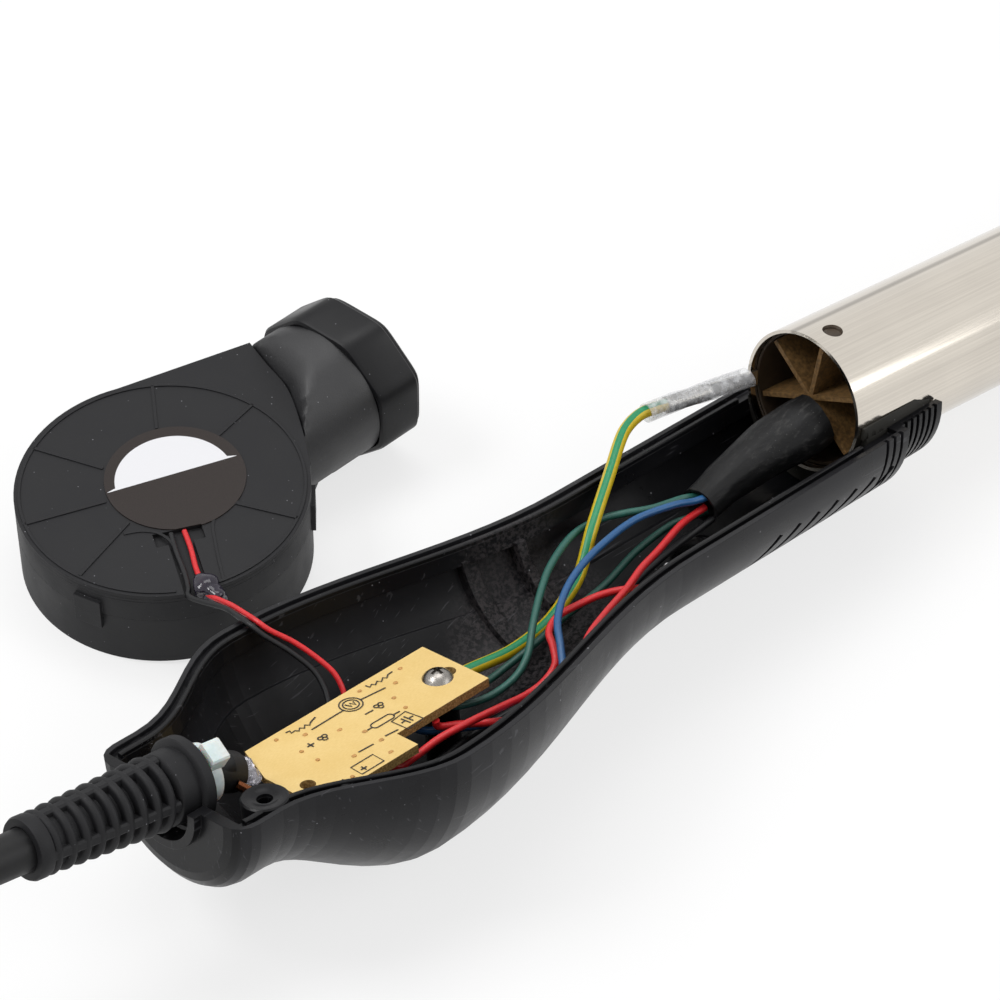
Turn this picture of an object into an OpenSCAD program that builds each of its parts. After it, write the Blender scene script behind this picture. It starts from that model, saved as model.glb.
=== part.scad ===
// Handpiece of a hot air rework station, opened for service.
// The lower half-shell lies on its round belly with the steel heater tube in its nose, the board and
// wires inside, and the blower lifted out beside it on its two leads.
// Shell frame: X runs along the handle towards the nozzle, zero at the mouth of the heater tube.
// Z is zero on the parting line and Y points to the far side, where the blower lies.

/* [Resting pose] */
// Roll of the shell away from the front, on its round belly
shell_roll = 15.2; // [0:0.1:20]
// Nose-down slope of the shell, from belly to nozzle end
shell_pitch = 3.8; // [2:0.1:6]

/* [Handle shell] */
// Half width of the bulb that takes the blower
bulb_r = 28.6; // [27:0.1:31]
// Half width of the grip
grip_r = 16.8; // [16.4:0.1:18]
// Half width of the rear end
rear_r = 17; // [15.5:0.1:18]
// Wall of the moulding
wall = 2; // [1.6:0.1:2.2]
// Length of the straight end behind the rear neck
rear_end_len = 8.5; // [7:0.5:12]
// Length over which the shell swells from the rear neck to the widest place of the bulb
swell_len = 28; // [24:0.5:34]
// Length over which the bulb narrows to the grip
taper_len = 65; // [58:0.5:74]
// Length of the grip, from where the bulb ends to the tube mouth
grip_len = 45; // [38:0.5:50]
// Length from the tube mouth to the front of the nose sleeve
nose_len = 19.5; // [18:0.5:22]
// Length from the tube mouth to the shoulder in front of the grip
shoulder_len = 8.5; // [7.5:0.1:10]
// Outer radius of the nose sleeve
nose_r = 15.1; // [15:0.1:15.8]
// Bore radius of the nose sleeve
nose_bore_r = 13.6; // [13.5:0.05:13.9]
// Number of finger slots low on the grip
slots = 7; // [3:1:8]
// Number of fine rings on the nose sleeve
nose_rings = 6; // [3:1:6]

/* [Heater tube] */
// Outer radius of the steel heater tube
tube_r = 13; // [12.4:0.05:13]
// Wall of the steel heater tube
tube_wall = 0.6; // [0.4:0.1:1]
// Length of the steel heater tube
tube_len = 118; // [100:1:130]
// Height of the tube mouth above the parting line
tube_lift = 3.6; // [3.4:0.1:4]
// Slope of the tube against the shell
tube_pitch = 2.55; // [2:0.05:3]
// Swing of the tube against the shell
tube_yaw = 2.07; // [1:0.01:2.2]
// Length of the seat that takes a nozzle
seat_len = 22; // [15:1:30]

/* [Circuit board] */
// Height of the board top below the parting line
board_drop = 8.5; // [8:0.1:9.5]
// Thickness of the board
board_t = 1.6; // [1.2:0.1:1.8]
// Length of the board
board_len = 42; // [38:0.5:44]
// Width of the board at its wide end
board_w = 20; // [18:0.5:22]
// Width left at the narrow front of the board
board_front_w = 15.2; // [13:0.1:17]

/* [Blower] */
// Outer radius of the blower housing
fan_r = 25; // [24:0.1:26]
// Height of the blower housing
fan_h = 16; // [15:0.1:17]
// Height of the blower cover above the seam
cover_h = 5.9; // [5:0.1:7]
// Wall of the blower housing
fan_wall = 1.4; // [1.2:0.1:1.8]
// Outer radius of the outlet duct
duct_r = 13.2; // [12:0.1:13.4]
// Outer radius of the seal collar on the duct
collar_r = 15; // [14.2:0.1:15.6]
// Sideways offset of the duct from the shaft
duct_y = 4.4; // [3:0.1:6]
// Depth of the duct axis below the cover
duct_z = 7.5; // [7:0.1:8.5]
// Distance from the shaft to the front of the collar
collar_x = 51.4; // [48:0.1:54]
// Length of the collar
collar_len = 10.2; // [8:0.1:12]
// Distance of the motor axis from the middle of the housing, towards the duct
motor_x = 2.8; // [0:0.1:3]
// Radius of the label on the cover
label_r = 12; // [10:0.5:13]
// Number of impeller blades
blades = 11; // [7:1:13]
// Tip radius of the impeller
impeller_r = 18.8; // [17:0.1:19]

/* [Cable] */
// Diameter of the station cable
cord_d = 7; // [6.6:0.1:7]
// Outer radius of the big flange of the strain relief
relief_r = 8.1; // [7.8:0.1:8.4]
// Length of the strain relief outside the flange
relief_len = 31; // [26:0.5:34]
// Number of rings on the strain relief
relief_rings = 8; // [5:1:9]
// Radius at the middle of the coil of spare cable
coil_r = 39; // [36:0.5:42]
// Turns in one layer of the coil
coil_turns = 2; // [1:1:3]

/* [Wires] */
// Diameter of the signal wires
wire_d = 1.5; // [1.2:0.1:1.5]
// Diameter of the earth wire
earth_d = 2.2; // [1.8:0.1:2.2]
// Diameter of the blower leads
lead_d = 1.1; // [0.8:0.1:1.2]

/* [Hidden] */
$fn = 96;

// Overrun of every cut, and the clearances that pieces keep
over = 1;
fit_gap = 0.05;
loose_gap = 0.35;

function blend(t) = (1 - cos(180 * t)) / 2;

// Lengths from the tube mouth to the widest place of the bulb, the rear neck and the rear face
bulb_len = grip_len + taper_len;
neck_len = bulb_len + swell_len;
rear_len = neck_len + rear_end_len;

// Half width of the shell along its axis: rounded rear, swelling bulb, slim grip
rear_round = 4;
function rear_edge(x) = rear_round - sqrt(max(0, pow(rear_round, 2) - pow(rear_round - x - rear_len, 2)));
function shell_r(x) =
  x < -rear_len + rear_round ? rear_r - rear_edge(x)
  : x < -neck_len ? rear_r
  : x < -bulb_len ? rear_r + (bulb_r - rear_r) * blend((x + neck_len) / (neck_len - bulb_len))
  : x < -grip_len ? bulb_r - (bulb_r - grip_r) * blend((x + bulb_len) / (bulb_len - grip_len))
  : grip_r;
rear_shares = [0, 0.08, 0.3, 0.6, 1];
shell_xs = concat(
  [for (s = rear_shares) -rear_len + s * rear_round],
  [for (i = [0:10]) -neck_len + i * (neck_len - bulb_len) / 10],
  [for (i = [1:14]) -bulb_len + i * (bulb_len - grip_len) / 14]
);

// Place of the shell frame over the floor, and of the whole part over its origin
belly_low = min([for (x = [-neck_len:1:-grip_len]) -x * sin(shell_pitch) - shell_r(x) * cos(shell_pitch)]);
origin_x = 26.93;
origin_y = -29.4;

module lie() {
  translate([origin_x, origin_y, -belly_low])
    rotate([-shell_roll, shell_pitch, 0])
      children();
}

// Turns a profile of [radius, x] about the shell axis, on the lower side only
module half_turn() {
  rotate([0, 90, 0])
    rotate([0, 0, -90])
      rotate_extrude(angle = 180)
        children();
}

module along_x(x) {
  translate([x, 0, 0])
    rotate([0, 90, 0])
      children();
}

// Sizes that only the shell carries
rear_wall = 1.9;
lip_w = 1.1;
lip_drop = 0.8;
lip_h = 2.8;
rim_groove_w = 1;
ledge_drop = 10.5;
ledge = 0.5;
ring_groove_w = 0.75;
ring_groove_d = 0.8;
ring_groove_pitch = 1.9;
shoulder_face = 1.6;
nose_groove_w = 0.8;
nose_groove_d = 0.7;
nose_pitch = 1.6;
slot_w = 1.3;
slot_d = 1.1;
slot_pitch = 4.9;
slot_slant = 35;
slot_start = 9;
slot_top = 17;
slot_bottom = 62;
u_cut_r = 7.1;
u_lip = 1.5;
u_lip_w = 2.4;
rib_back = 21;
rib_apart = 9.5;
rib_xs = [-grip_len - rib_back, -grip_len - rib_back + rib_apart];
rib_ts = [3, 2];
rib_far_gap = 1.6;
rib_near_lap = 1.2;
rib_bores = [collar_r + rib_far_gap, collar_r - rib_near_lap];
rib_top = 3;
rib_foot = 6.5;
boss_in = 9.1;
boss_side = 4.8;
boss_x = boss_in - rear_len;
boss_y = boss_side - rear_r;
boss_r = 3.76;
boss_drop = 0.8;
boss_bore_r = 1.25;
boss_bore_depth = 7;
post_ahead = 21;
post_x = post_ahead - bulb_len;
post_y = 1;
post_r = 3;
post_bore_r = 1.1;
post_bore_depth = 7;
rest_post_back = 11;
rest_post_x = -bulb_len - rest_post_back;
rest_post_y = 4.5;
rest_post_r = 2;
cup_ahead = 17;
cup_x = cup_ahead - grip_len;
cup_y = -9.5;
cup_r = 2.6;
cup_drop = 6;
board_z = -board_drop - board_t;

module shell_solid(inset, from_x, to_x) {
  half_turn()
    polygon(concat(
      [[0, from_x], [shell_r(from_x) - inset, from_x]],
      [for (x = shell_xs) if (x > from_x) [shell_r(x) - inset, x]],
      [[grip_r - inset, to_x], [0, to_x]]
    ));
}

// The hollow of the shell between two depths under the parting line
module hollow(inset, from_x, deep, top) {
  intersection() {
    shell_solid(inset, from_x, shoulder_len - wall);
    translate([-2 * rear_len, -2 * bulb_r, -deep])
      cube([4 * rear_len, 4 * bulb_r, deep - top]);
  }
}

module ring_cut(x, width, inner, outer) {
  along_x(x)
    difference() {
      cylinder(h = width, r = outer);
      translate([0, 0, -over])
        cylinder(h = width + 2 * over, r = inner);
    }
}

module collar_rib(x, t, bore) {
  intersection() {
    along_x(x - t / 2)
      cylinder(h = t, r = shell_r(x) - wall / 2);
    difference() {
      translate([x - t / 2, -bulb_r, -bulb_r])
        cube([t, 2 * bulb_r, bulb_r - rib_top]);
      along_x(x - t)
        cylinder(h = 2 * t, r = bore);
      translate([x - t, -rib_foot, -2 * bulb_r])
        cube([2 * t, 2 * rib_foot, 2 * bulb_r]);
    }
  }
}

module finger_slot(i) {
  rotate([slot_top + (slot_bottom - slot_top) / 2 - 90, 0, 0])
    translate([slot_start - ring_groove_pitch - slot_pitch * (i + 1), 0, -grip_r])
      rotate([0, 0, slot_slant])
        cube([slot_w, 0.7 * grip_r, 2 * slot_d], center = true);
}

module screw_post(x, y, r, top, bore_r, depth) {
  difference() {
    intersection() {
      translate([x, y, -bulb_r])
        cylinder(h = bulb_r - top, r = r);
      shell_solid(wall / 2, -rear_len, nose_len);
    }
    translate([x, y, -top - depth])
      cylinder(h = depth + over, r = bore_r);
  }
}

module lower_shell() {
  color("#26272a")
    lie()
      difference() {
        union() {
          difference() {
            shell_solid(0, -rear_len, shoulder_len);
            // Full wall, then the ledge, the lip of the rim and the thin edge outside it
            hollow(wall, -rear_len + rear_wall, 2 * bulb_r, ledge_drop);
            hollow(wall - ledge, -rear_len + rear_wall, ledge_drop + over, lip_drop + lip_h);
            hollow(wall + lip_w, -rear_len + rear_wall, lip_drop + lip_h + over, -over);
            hollow(wall - rim_groove_w, -rear_len + rear_wall, lip_drop, -over);
          }
          // The nose sleeve in front of the shoulder
          half_turn()
            translate([0, shoulder_len - over])
              square([nose_r, nose_len - shoulder_len + over]);
          for (i = [0:1])
            collar_rib(rib_xs[i], rib_ts[i], rib_bores[i]);
          screw_post(boss_x, boss_y, boss_r, boss_drop, boss_bore_r, boss_bore_depth);
          screw_post(post_x, post_y, post_r, board_drop + board_t, post_bore_r, post_bore_depth);
          screw_post(rest_post_x, rest_post_y, rest_post_r, board_drop + board_t, boss_bore_r / 2, 2 * over);
          screw_post(cup_x, cup_y, cup_r, cup_drop, boss_bore_r, 2 * over);
          // Lip round the cut for the strain relief
          intersection() {
            translate([0, relief_y, 0])
              along_x(-rear_len - u_lip_w + over)
                cylinder(h = u_lip_w, r = u_cut_r + u_lip);
            translate([-2 * rear_len, -bulb_r, -2 * bulb_r])
              cube([2 * rear_len, 2 * bulb_r, 2 * bulb_r]);
          }
        }
        // Bore of the nose, open to the front
        along_x(-over)
          cylinder(h = nose_len + 2 * over, r = nose_bore_r);
        // Cut in the rear wall for the strain relief
        translate([0, relief_y, 0])
          along_x(-rear_len - u_lip_w)
            cylinder(h = rear_wall + u_lip_w + over, r = u_cut_r);
        // Everything stays under the parting line
        translate([-2 * rear_len, -2 * bulb_r, 0])
          cube([4 * rear_len, 4 * bulb_r, 2 * bulb_r]);
        // Three ring grooves on the shoulder, then the fine rings of the sleeve
        for (i = [0:2])
          ring_cut(shoulder_len - shoulder_face - ring_groove_w - ring_groove_pitch * i, ring_groove_w,
            grip_r - ring_groove_d, grip_r + over);
        for (i = [0:nose_rings - 1])
          ring_cut(shoulder_len + nose_groove_w + nose_pitch * i, nose_groove_w,
            nose_r - nose_groove_d, nose_r + over);
        for (i = [0:slots - 1])
          finger_slot(i);
      }
}

// The board: wide rear end cut at a slant, narrower front past a step
board_ahead = 26;
board_end_x = board_ahead - bulb_len;
board_far_y = 9.6;
board_step = 20.5;
board_step_x = board_end_x - board_step;
board_hole_r = 1.3;
board_hole_back = 39;
board_hole_x = board_end_x - board_hole_back;
board_hole_y = -5;
board_slot_w = 2.6;
board_slot_len = 5;
board_edge_shares = [0.2, 0.6, 0.85];

module board_outline() {
  near_y = board_far_y - board_w;
  rear_x = board_end_x - board_len;
  polygon([
    [board_end_x, board_far_y],
    [board_end_x, board_far_y - board_front_w],
    [board_step_x, board_far_y - board_front_w],
    [board_step_x, near_y],
    [rear_x + board_edge_shares[0] * board_w, near_y],
    [rear_x, near_y + board_edge_shares[0] * board_w],
    [rear_x, near_y + board_edge_shares[1] * board_w],
    [rear_x + (1 - board_edge_shares[2]) * board_w, board_far_y]
  ]);
}

module circuit_board() {
  color("#e9c877")
    lie()
      translate([0, 0, board_z])
        difference() {
          linear_extrude(height = board_t)
            board_outline();
          // Slotted hole for the screw
          for (s = [0, board_slot_len - board_slot_w])
            translate([post_x + s, post_y, -over])
              cylinder(h = board_t + 2 * over, r = board_slot_w / 2);
          translate([post_x, post_y - board_slot_w / 2, -over])
            cube([board_slot_len - board_slot_w, board_slot_w, board_t + 2 * over]);
          translate([board_hole_x, board_hole_y, -over])
            cylinder(h = board_t + 2 * over, r = board_hole_r);
        }
}

// Pan head screw that holds the board to its post
screw_head_r = 2.4;
screw_head_h = 1.5;
screw_shank_r = 1;
screw_len = 7;
recess_w = 0.6;
recess_d = 0.8;

module board_screw() {
  color("#c9c9c6")
    lie()
      translate([post_x, post_y, -board_drop])
        difference() {
          union() {
            difference() {
              translate([0, 0, screw_head_h - screw_head_r - recess_w])
                sphere(r = screw_head_r + recess_w);
              translate([-2 * screw_head_r, -2 * screw_head_r, -4 * screw_head_r])
                cube([4 * screw_head_r, 4 * screw_head_r, 4 * screw_head_r]);
            }
            translate([0, 0, -screw_len])
              cylinder(h = screw_len + recess_d, r = screw_shank_r);
          }
          for (a = [0, 90])
            rotate([0, 0, a])
              translate([-screw_head_r / 2, -recess_w / 2, screw_head_h - recess_d])
                cube([screw_head_r, recess_w, 2 * recess_d]);
        }
}

// Parts under the board, and the joints that hold them
joint_r = 0.8;
joint_h = 0.5;
joint_shares = [
  [0.19, 0.155], [0.357, 0.355], [0.357, 0.64], [0.548, 0.18],
  [0.619, 0.86], [0.69, 0.53], [0.786, 0.23], [0.833, 0.85]
];
resistor_r = 1.1;
resistor_len = 6.5;
resistor_shares = [[0.381, 0.16], [0.595, 0.37], [0.738, 0.17]];
capacitor_r = 3.1;
capacitor_h = 7;
capacitor_share = [0.443, 0.54];
diode_r = 1.3;
diode_len = 5;
diode_shares = [[0.69, 0.75], [0.774, 0.44]];
part_gap = 0.1;

// A place on the board, as shares of its length and width from the front far corner
function on_board(share) = [board_end_x - share.x * board_len, board_far_y - share.y * board_w];

module board_solder() {
  color("#b9bcbd")
    lie()
      for (p = joint_shares)
        translate(concat(on_board(p), -board_drop))
          cylinder(h = joint_h, r1 = joint_r, r2 = joint_r / 3, $fn = 24);
}

module hanging_row(shares, r, length) {
  for (p = shares)
    translate(concat(on_board(p), board_z - r - part_gap))
      rotate([0, 90, 0])
        cylinder(h = length, r = r, center = true);
}

module board_resistors() {
  color("#c8a878")
    lie()
      hanging_row(resistor_shares, resistor_r, resistor_len);
}

module board_capacitor() {
  color("#2c3550")
    lie()
      translate(concat(on_board(capacitor_share), board_z - capacitor_h - part_gap))
        cylinder(h = capacitor_h, r = capacitor_r);
}

module board_diodes() {
  color("#202020")
    lie()
      hanging_row(diode_shares, diode_r, diode_len);
}

// Curves through route points, and tubes swept along them
function unit(v) = v / norm(v);
function curve_point(a, b, c, d, t) =
  (2 * b + (c - a) * t + (2 * a - 5 * b + 4 * c - d) * t * t + (3 * b - a - 3 * c + d) * t * t * t) / 2;
function smooth(p, steps) = concat(
  [for (i = [0:len(p) - 2]) for (j = [0:steps - 1])
    curve_point(p[max(i - 1, 0)], p[i], p[i + 1], p[min(i + 2, len(p) - 1)], j / steps)],
  [p[len(p) - 1]]
);
function tangent(p, i) = unit(p[min(i + 1, len(p) - 1)] - p[max(i - 1, 0)]);
function side_of(t) = unit(cross(t, abs(t.z) < 0.8 ? [0, 0, 1] : [0, 1, 0]));
function sides_along(p, i = 0, found = []) =
  i == len(p) ? found
  : let (t = tangent(p, i), last = i == 0 ? side_of(t) : found[i - 1])
    sides_along(p, i + 1, concat(found, [unit(last - (last * t) * t)]));
module swept_tube(p, radii, sides) {
  n = len(p);
  normals = sides_along(p);
  points = [for (i = [0:n - 1], k = [0:sides - 1])
    let (t = tangent(p, i), r = is_list(radii) ? radii[i] : radii, a = 360 * k / sides)
    p[i] + r * (cos(a) * normals[i] + sin(a) * cross(t, normals[i]))];
  walls = [for (i = [0:n - 2], k = [0:sides - 1], half = [0:1])
    let (a = i * sides + k, b = i * sides + (k + 1) % sides)
    half == 0 ? [a, a + sides, b + sides] : [a, b + sides, b]];
  last = (n - 1) * sides;
  caps = [for (k = [1:sides - 2], end = [0:1])
    end == 0 ? [0, k, k + 1] : [last, last + k + 1, last + k]];
  polyhedron(points = points, faces = concat(walls, caps));
}

// The strain relief: ribbed boot with windows between four spines, clamped in the rear wall
relief_in = 5;
relief_x = relief_in - rear_len;
relief_y = 0.5;
relief_z = 0;
relief_rise = 6.6;
relief_swing = 1.7;
relief_flange = 2;
relief_neck_r = 6.6;
relief_neck_len = 6.4;
relief_ring_r = 7.1;
relief_end_r = 6.2;
relief_end_len = 2.4;
relief_core_r = 4.6;
relief_ring_w = 1.3;
relief_spine_w = 2;
cord_r = cord_d / 2;

module in_relief() {
  lie()
    translate([relief_x, relief_y, relief_z])
      rotate([0, relief_rise - 90, -relief_swing])
        children();
}

function relief_reach(z) = relief_ring_r + (relief_end_r - relief_ring_r) * z / relief_len;

module strain_relief() {
  ring_pitch = (relief_len - relief_neck_len - relief_end_len) / relief_rings;
  color("#1d1d1f")
    in_relief()
      difference() {
        union() {
          cylinder(h = relief_flange, r = relief_r);
          cylinder(h = relief_neck_len, r = relief_neck_r);
          cylinder(h = relief_len, r = relief_core_r);
          for (i = [0:relief_rings - 1])
            translate([0, 0, relief_neck_len + ring_pitch * i])
              cylinder(h = relief_ring_w, r = relief_reach(relief_neck_len + ring_pitch * i));
          translate([0, 0, relief_len - relief_end_len])
            cylinder(h = relief_end_len, r = relief_end_r);
          for (a = [45:90:315])
            rotate([0, 0, a])
              translate([0, -relief_spine_w / 2, relief_neck_len])
                cube([relief_reach(relief_len) - part_gap, relief_spine_w,
                  relief_len - relief_neck_len - relief_end_len / 2]);
        }
        translate([0, 0, -over])
          cylinder(h = relief_len + 2 * over, r = cord_r + fit_gap);
      }
}

// Nylon tie round the cable just inside the flange
tie_w = 2.6;
tie_t = 1.1;
tie_head_w = 4.6;
tie_head_t = 3.8;
tie_head_h = 4.2;
tie_gap = 0.9;
tie_turn = -35;

module cable_tie() {
  color("#dfe0da")
    in_relief()
      translate([0, 0, -tie_gap - tie_w])
        difference() {
          union() {
            cylinder(h = tie_w, r = cord_r + fit_gap + tie_t);
            rotate([0, 0, tie_turn])
              translate([cord_r + tie_t / 2, -tie_head_w / 2, (tie_w - tie_head_t) / 2])
                cube([tie_head_h, tie_head_w, tie_head_t]);
          }
          translate([0, 0, -over])
            cylinder(h = tie_w + 2 * over, r = cord_r + fit_gap);
          rotate([0, 0, tie_turn])
            translate([0, 0, -over])
              cube([cord_r + fit_gap, cord_r / 2, tie_w + 2 * over]);
        }
}

// Jacket end from the relief to the board corner, its cores, and the clear glue on it
jacket_tip_r = 2.4;
jacket_tip_len = 7.5;

module cable_jacket() {
  color("#18181a")
    in_relief() {
      cylinder(h = relief_len, r = cord_r);
      translate([0, 0, -jacket_tip_len])
        cylinder(h = jacket_tip_len, r1 = jacket_tip_r, r2 = cord_r);
    }
}

core_d = 1.6;
core_spread = 1.3;
cable_core_route = [
  [-134.5, -2.2, -3.5], [-132, -5, -6.5], [-131, -6.6, -9.5], [-128.5, -6.2, -13],
  [-124, -3.5, -14], [-119, -1, -13.5]
];

module cable_cores() {
  color("#8a4a2c")
    lie()
      swept_tube(smooth(cable_core_route, 3), core_d / 2, 8);
}

glue_r = 3.4;
glue_share = [0.95, 0.36];

module jacket_glue() {
  color("#d8d0dc", 0.6)
    lie()
      translate(concat(on_board(glue_share), -board_drop))
        difference() {
          sphere(r = glue_r / 2);
          translate([-glue_r, -glue_r, -2 * glue_r])
            cube([2 * glue_r, 2 * glue_r, 2 * glue_r]);
        }
}

// The spare cable: from the relief down to the floor, then into a coil, and out to its connector
function rolled(p) = [
  p.x,
  p.y * cos(shell_roll) + p.z * sin(shell_roll),
  p.z * cos(shell_roll) - p.y * sin(shell_roll)
];
function pitched(p) = [
  p.x * cos(shell_pitch) + p.z * sin(shell_pitch),
  p.y,
  p.z * cos(shell_pitch) - p.x * sin(shell_pitch)
];
function on_floor(p) = pitched(rolled(p)) + [origin_x, origin_y, -belly_low];
function relief_point(t) = [
  relief_x - t * cos(relief_rise) * cos(relief_swing),
  relief_y + t * cos(relief_rise) * sin(relief_swing),
  relief_z + t * sin(relief_rise)
];
cord_exit = on_floor(relief_point(relief_len));
cord_out = unit(on_floor(relief_point(relief_len + cord_d)) - cord_exit);
floor_gap = 0.2;
layer_gap = 0.6;
cord_floor = cord_r + floor_gap;
coil_pitch = cord_d + layer_gap;
coil_out_r = coil_r + coil_turns * coil_pitch / 2;
// Shares of the drop to the floor at each place of the run, measured back from the relief
run_places = [
  [-18, 2, -0.07], [-28, 3, -0.03], [-38, 4, 0.08], [-48, 5, 0.25], [-58, 6, 0.46], [-68, 7, 0.67],
  [-78, 8, 0.84], [-88, 8.5, 0.95], [-98, 9, 1], [-108, 9, 1], [-116, 9, 1]
];
run_end = run_places[len(run_places) - 1];
cord_drop = cord_exit.z - cord_floor;
cord_route = concat(
  [cord_exit, cord_exit + cord_d * cord_out],
  [for (p = run_places) [cord_exit.x + p.x, cord_exit.y + p.y, cord_exit.z - p.z * cord_drop]]
);
coil_x = cord_exit.x + run_end.x - cord_d;
coil_y = cord_exit.y + run_end.y + coil_out_r;
coil_steps = 24;
climb_share = 0.25;
coil_count = 2 * coil_turns;

function climb(s) = blend(min(1, max(0, (s - coil_turns + climb_share) / (2 * climb_share))));
function coil_point(s) =
  let (r = coil_r - coil_turns * coil_pitch / 2 + coil_pitch * abs(s - coil_turns), a = -90 - 360 * s)
  [coil_x + r * cos(a), coil_y + r * sin(a), cord_floor + coil_pitch * climb(s)];
tail_len = 36;
coil_route = concat(
  [coil_point(0) + [cord_d, 0, 0], coil_point(0) + [cord_d / 2, 0, 0]],
  [for (i = [0:coil_steps * coil_count]) coil_point(i / coil_steps)],
  [coil_point(coil_count) + [-tail_len / 2, 0, 0], coil_point(coil_count) + [-tail_len, 0, 0]]
);
coil_gap = min([
  for (i = [0:len(coil_route) - 1], j = [i + coil_steps / 2:1:len(coil_route) - 1])
    norm(coil_route[i] - coil_route[j])
]) - cord_d;
echo(coil_gap = coil_gap);

module cord_run() {
  color("#19191b")
    swept_tube(cord_route, cord_r, 12);
}

module cord_coil() {
  color("#19191b")
    swept_tube(coil_route, cord_r, 6);
}

// Round metal connector on the end of the cable
connector_r = 10.4;
connector_shell_r = 9.3;
connector_back_r = 6.4;
connector_back_len = 14;
connector_body_len = 14;
connector_nut_len = 9;
connector_front_len = 9;
connector_wall = 1.2;
connector_flats = 24;
pin_r = 0.8;
pin_len = 6;
pin_ring_r = 4.9;
pin_count = 7;
insert_t = 4;

module at_connector(x) {
  translate(coil_route[len(coil_route) - 1] + [-x, 0, 0])
    rotate([0, -90, 0])
      children();
}

module connector_shell() {
  front = connector_back_len + connector_body_len + connector_front_len;
  color("#c3c5c6")
    at_connector(0)
      difference() {
        union() {
          cylinder(h = connector_back_len, r1 = connector_back_r, r2 = connector_shell_r - connector_wall);
          translate([0, 0, connector_back_len])
            cylinder(h = front - connector_back_len, r = connector_shell_r - connector_wall);
          for (i = [0:2])
            translate([0, 0, connector_wall * (2 * i + 1)])
              cylinder(h = connector_wall, r = connector_back_r + connector_wall);
        }
        translate([0, 0, connector_back_len + connector_body_len])
          cylinder(h = front, r = connector_shell_r - 2 * connector_wall);
      }
}

module connector_nut() {
  color("#b3b6b8")
    at_connector(connector_back_len + connector_body_len - connector_nut_len)
      difference() {
        cylinder(h = connector_nut_len + connector_body_len / 2, r = connector_r);
        translate([0, 0, -over])
          cylinder(h = connector_nut_len + connector_body_len + over,
            r = connector_shell_r - connector_wall + fit_gap);
        for (i = [0:connector_flats - 1])
          rotate([0, 0, 360 * i / connector_flats])
            translate([connector_r, 0, connector_wall])
              cylinder(h = connector_nut_len - connector_wall, r = connector_wall / 2, $fn = 16);
      }
}

module connector_insert() {
  color("#2a2a2a")
    at_connector(connector_back_len + connector_body_len)
      difference() {
        cylinder(h = insert_t, r = connector_shell_r - 2 * connector_wall - fit_gap);
        for (i = [0:pin_count])
          rotate([0, 0, 360 * i / pin_count])
            translate([i == pin_count ? 0 : pin_ring_r, 0, -over])
              cylinder(h = insert_t + 2 * over, r = pin_r + fit_gap);
      }
}

module connector_pins() {
  color("#d2b45a")
    at_connector(connector_back_len + connector_body_len + fit_gap)
      for (i = [0:pin_count])
        rotate([0, 0, 360 * i / pin_count])
          translate([i == pin_count ? 0 : pin_ring_r, 0, 0])
            cylinder(h = pin_len, r = pin_r);
}

// Heater tube and what it holds, on the tube's own axis
tube_bore_r = tube_r - tube_wall;
seat_step = 0.25;
tube_hole_r = 1.8;
tube_hole_x = 4.8;
tube_hole_turn = 12;

module in_tube() {
  lie()
    translate([0, 0, tube_lift])
      rotate([0, tube_pitch, -tube_yaw])
        children();
}

module heater_tube() {
  color("#cfcac2")
    in_tube()
      difference() {
        along_x(0)
          cylinder(h = tube_len, r = tube_r);
        along_x(-over)
          cylinder(h = tube_len + 2 * over, r = tube_bore_r);
        rotate([tube_hole_turn, 0, 0])
          translate([tube_hole_x, 0, 0])
            cylinder(h = tube_r + over, r = tube_hole_r);
        // Seat at the front, turned down for the nozzle
        ring_cut(tube_len - seat_len, seat_len + over, tube_r - seat_step, tube_r + over);
      }
}

// Rubber strip that fills the nose under the tube, with a ribbed wing inside the near rim
gasket_wing = 1;
gasket_top = 2.2;
gasket_back = 1;
gasket_ribs = 9;
gasket_rib_d = 0.35;

module tube_gasket() {
  gasket_len = nose_len - 2 * gasket_back;
  rib_pitch = gasket_len / gasket_ribs;
  color("#34332f")
    difference() {
      union() {
        lie()
          half_turn()
            translate([0, gasket_back])
              square([nose_bore_r - fit_gap, gasket_len]);
        intersection() {
          in_tube()
            along_x(gasket_back)
              union() {
                cylinder(h = gasket_len, r = tube_r + gasket_wing - gasket_rib_d);
                for (i = [0:gasket_ribs - 1])
                  translate([0, 0, rib_pitch * (i + 0.5)])
                    cylinder(h = rib_pitch / 2, r = tube_r + gasket_wing);
              }
          lie()
            translate([0, fit_gap - nose_bore_r, fit_gap])
              cube([nose_len, tube_r, gasket_top]);
        }
      }
      in_tube()
        along_x(-over)
          cylinder(h = tube_len, r = tube_r + fit_gap);
    }
}

// Mica former: six arms, wide at the mouth and narrower under the winding, in a rolled mica liner
mica_t = 0.9;
mica_back = 2;
mica_mouth_len = 12;
mica_len = 104;
mica_arm_r = 11.6;
mica_core_r = 9;
liner_r = 12.3;
liner_t = 0.5;
liner_back = 1.6;

module mica_star() {
  color("#b48a55")
    in_tube()
      along_x(mica_back)
        for (a = [15:60:135])
          rotate([0, 0, a]) {
            translate([-mica_arm_r, -mica_t / 2, 0])
              cube([2 * mica_arm_r, mica_t, mica_mouth_len]);
            translate([-mica_core_r, -mica_t / 2, 0])
              cube([2 * mica_core_r, mica_t, mica_len]);
          }
}

module mica_liner() {
  color("#7b5a38")
    in_tube()
      along_x(liner_back)
        difference() {
          cylinder(h = mica_len + mica_back, r = liner_r);
          translate([0, 0, -over])
            cylinder(h = mica_len + mica_back + 2 * over, r = liner_r - liner_t);
        }
}

winding_r = 10.4;
winding_d = 0.7;
winding_turns = 14;
winding_pitch = 6;
winding_start = 17;
winding_steps = 8;

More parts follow.
